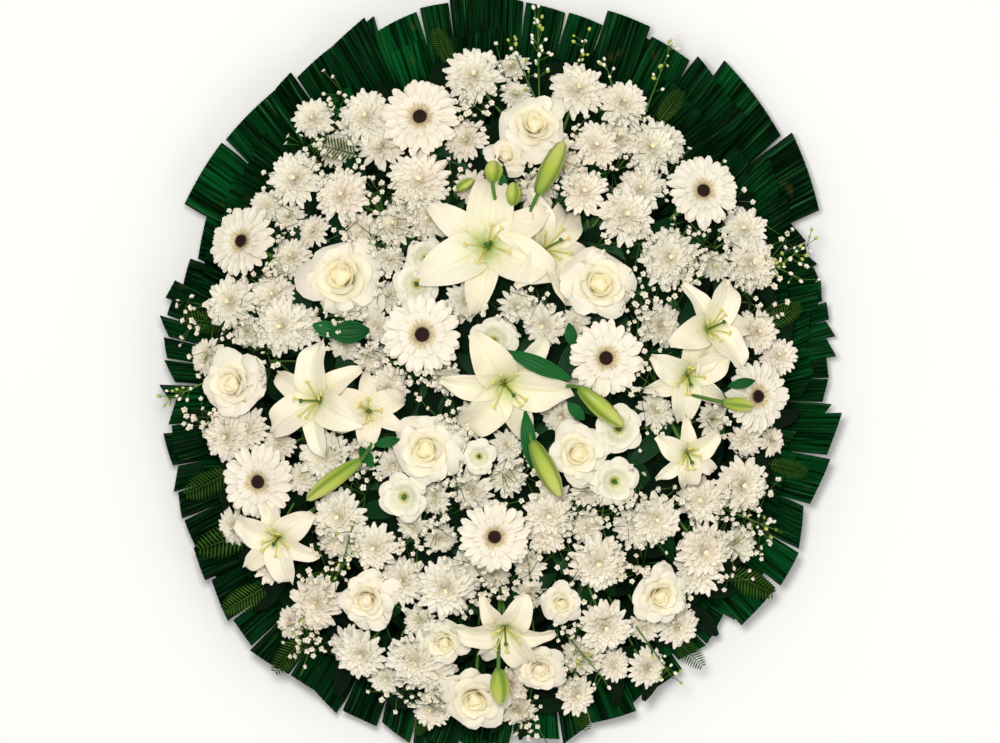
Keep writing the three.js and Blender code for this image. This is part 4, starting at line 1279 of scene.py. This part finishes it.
def dress_support():
    slats = ((0.30, 0.19, 0.09), (0.62, 0.46, 0.27))
    finishes = (
        (grained_wood("slat_wood_upright", *slats, (6, 0.6, 6)), ("batten_left", "batten_right")),
        (grained_wood("slat_wood_across", *slats, (0.6, 6, 6)), ("crossbar_upper", "crossbar_lower")),
        (grained_wood("plywood", (0.36, 0.24, 0.12), (0.58, 0.43, 0.25), (4, 0.5, 30)), ("backing_board",)),
        (foam_material(), [f"foam_{place}" for place in
                           ("upper_left", "upper_right", "lower_left", "lower_right")]),
    )
    for material, nodes in finishes:
        for node in nodes:
            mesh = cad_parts[node].data
            mesh.materials.clear()
            mesh.materials.append(material)


# ---- the studio ---------------------------------------------------------------------------------

CAMERA_HEIGHT = 6.0
VIEW_WIDTH = 1.3
VIEW_LEVEL = 0.12


def add_floor():
    look = Look("studio_floor", Roughness=0.9)
    colour = look.mixed(look.noise(2.0, 2), (0.90, 0.90, 0.89), (0.93, 0.93, 0.92))
    look.fill(look.shader, {"Base Color": colour})
    bpy.ops.mesh.primitive_plane_add(size=12, location=(0, 0, -0.0005))
    floor = bpy.context.object
    floor.name = "studio_floor"
    floor.data.materials.append(look.material)


def add_lights():
    world = bpy.data.worlds.new("studio_light")
    world.use_nodes = True
    background = world.node_tree.nodes["Background"]
    background.inputs["Color"].default_value = (1, 1, 1, 1)
    background.inputs["Strength"].default_value = 0.5
    bpy.context.scene.world = world
    for name, position, size, power in (
        ("flash_light", (-0.16, 0.32, 3.6), 0.6, 78),
        ("fill_light", (1.4, -1.2, 2.6), 1.8, 10),
    ):
        light = bpy.data.lights.new(name, "AREA")
        light.size = size
        light.energy = power
        light.color = (1, 0.98, 0.93)
        lamp = bpy.data.objects.new(name, light)
        lamp.location = position
        lamp.rotation_euler = (-Vector(position)).to_track_quat("-Z", "Y").to_euler()
        bpy.context.scene.collection.objects.link(lamp)


def add_camera():
    lens = bpy.data.cameras.new("camera")
    lens.sensor_width = 36
    lens.lens = 36 * (CAMERA_HEIGHT - VIEW_LEVEL) / VIEW_WIDTH
    lens.clip_end = 50
    camera = bpy.data.objects.new("camera", lens)
    camera.location = (0.004, 0, CAMERA_HEIGHT)
    bpy.context.scene.collection.objects.link(camera)
    bpy.context.scene.camera = camera
    bpy.context.scene.view_settings.view_transform = "Standard"


add_floor()
add_lights()
add_camera()
dress_support()
add_collar(palm_material())
add_flowers()
named = GERBERAS + ROSES + LISIANTHUS + sum((heads for heads, _ in LILIES), []) + sum(SPRAYS, [])
small = add_fillers(named)
add_gypsophila(named + small)
# A near-black leaf colour: painted shade for the deep gaps between the flowers.
painted_shade_leaf = leaf_material("painted_shade_leaf", (0.0005, 0.006, 0.001), (0.002, 0.035, 0.006), roughness=0.7)
fern_leaf = leaf_material("fern_leaf", (0.010, 0.055, 0.004), (0.11, 0.20, 0.025), roughness=0.5)
lily_leaf = leaf_material("lily_leaf", (0.005, 0.06, 0.012), (0.02, 0.20, 0.04), lines=16)
add_underlay(painted_shade_leaf)
add_ferns(fern_leaf)
add_lily_leaves(lily_leaf)
add_sprigs()
add_small_buds()
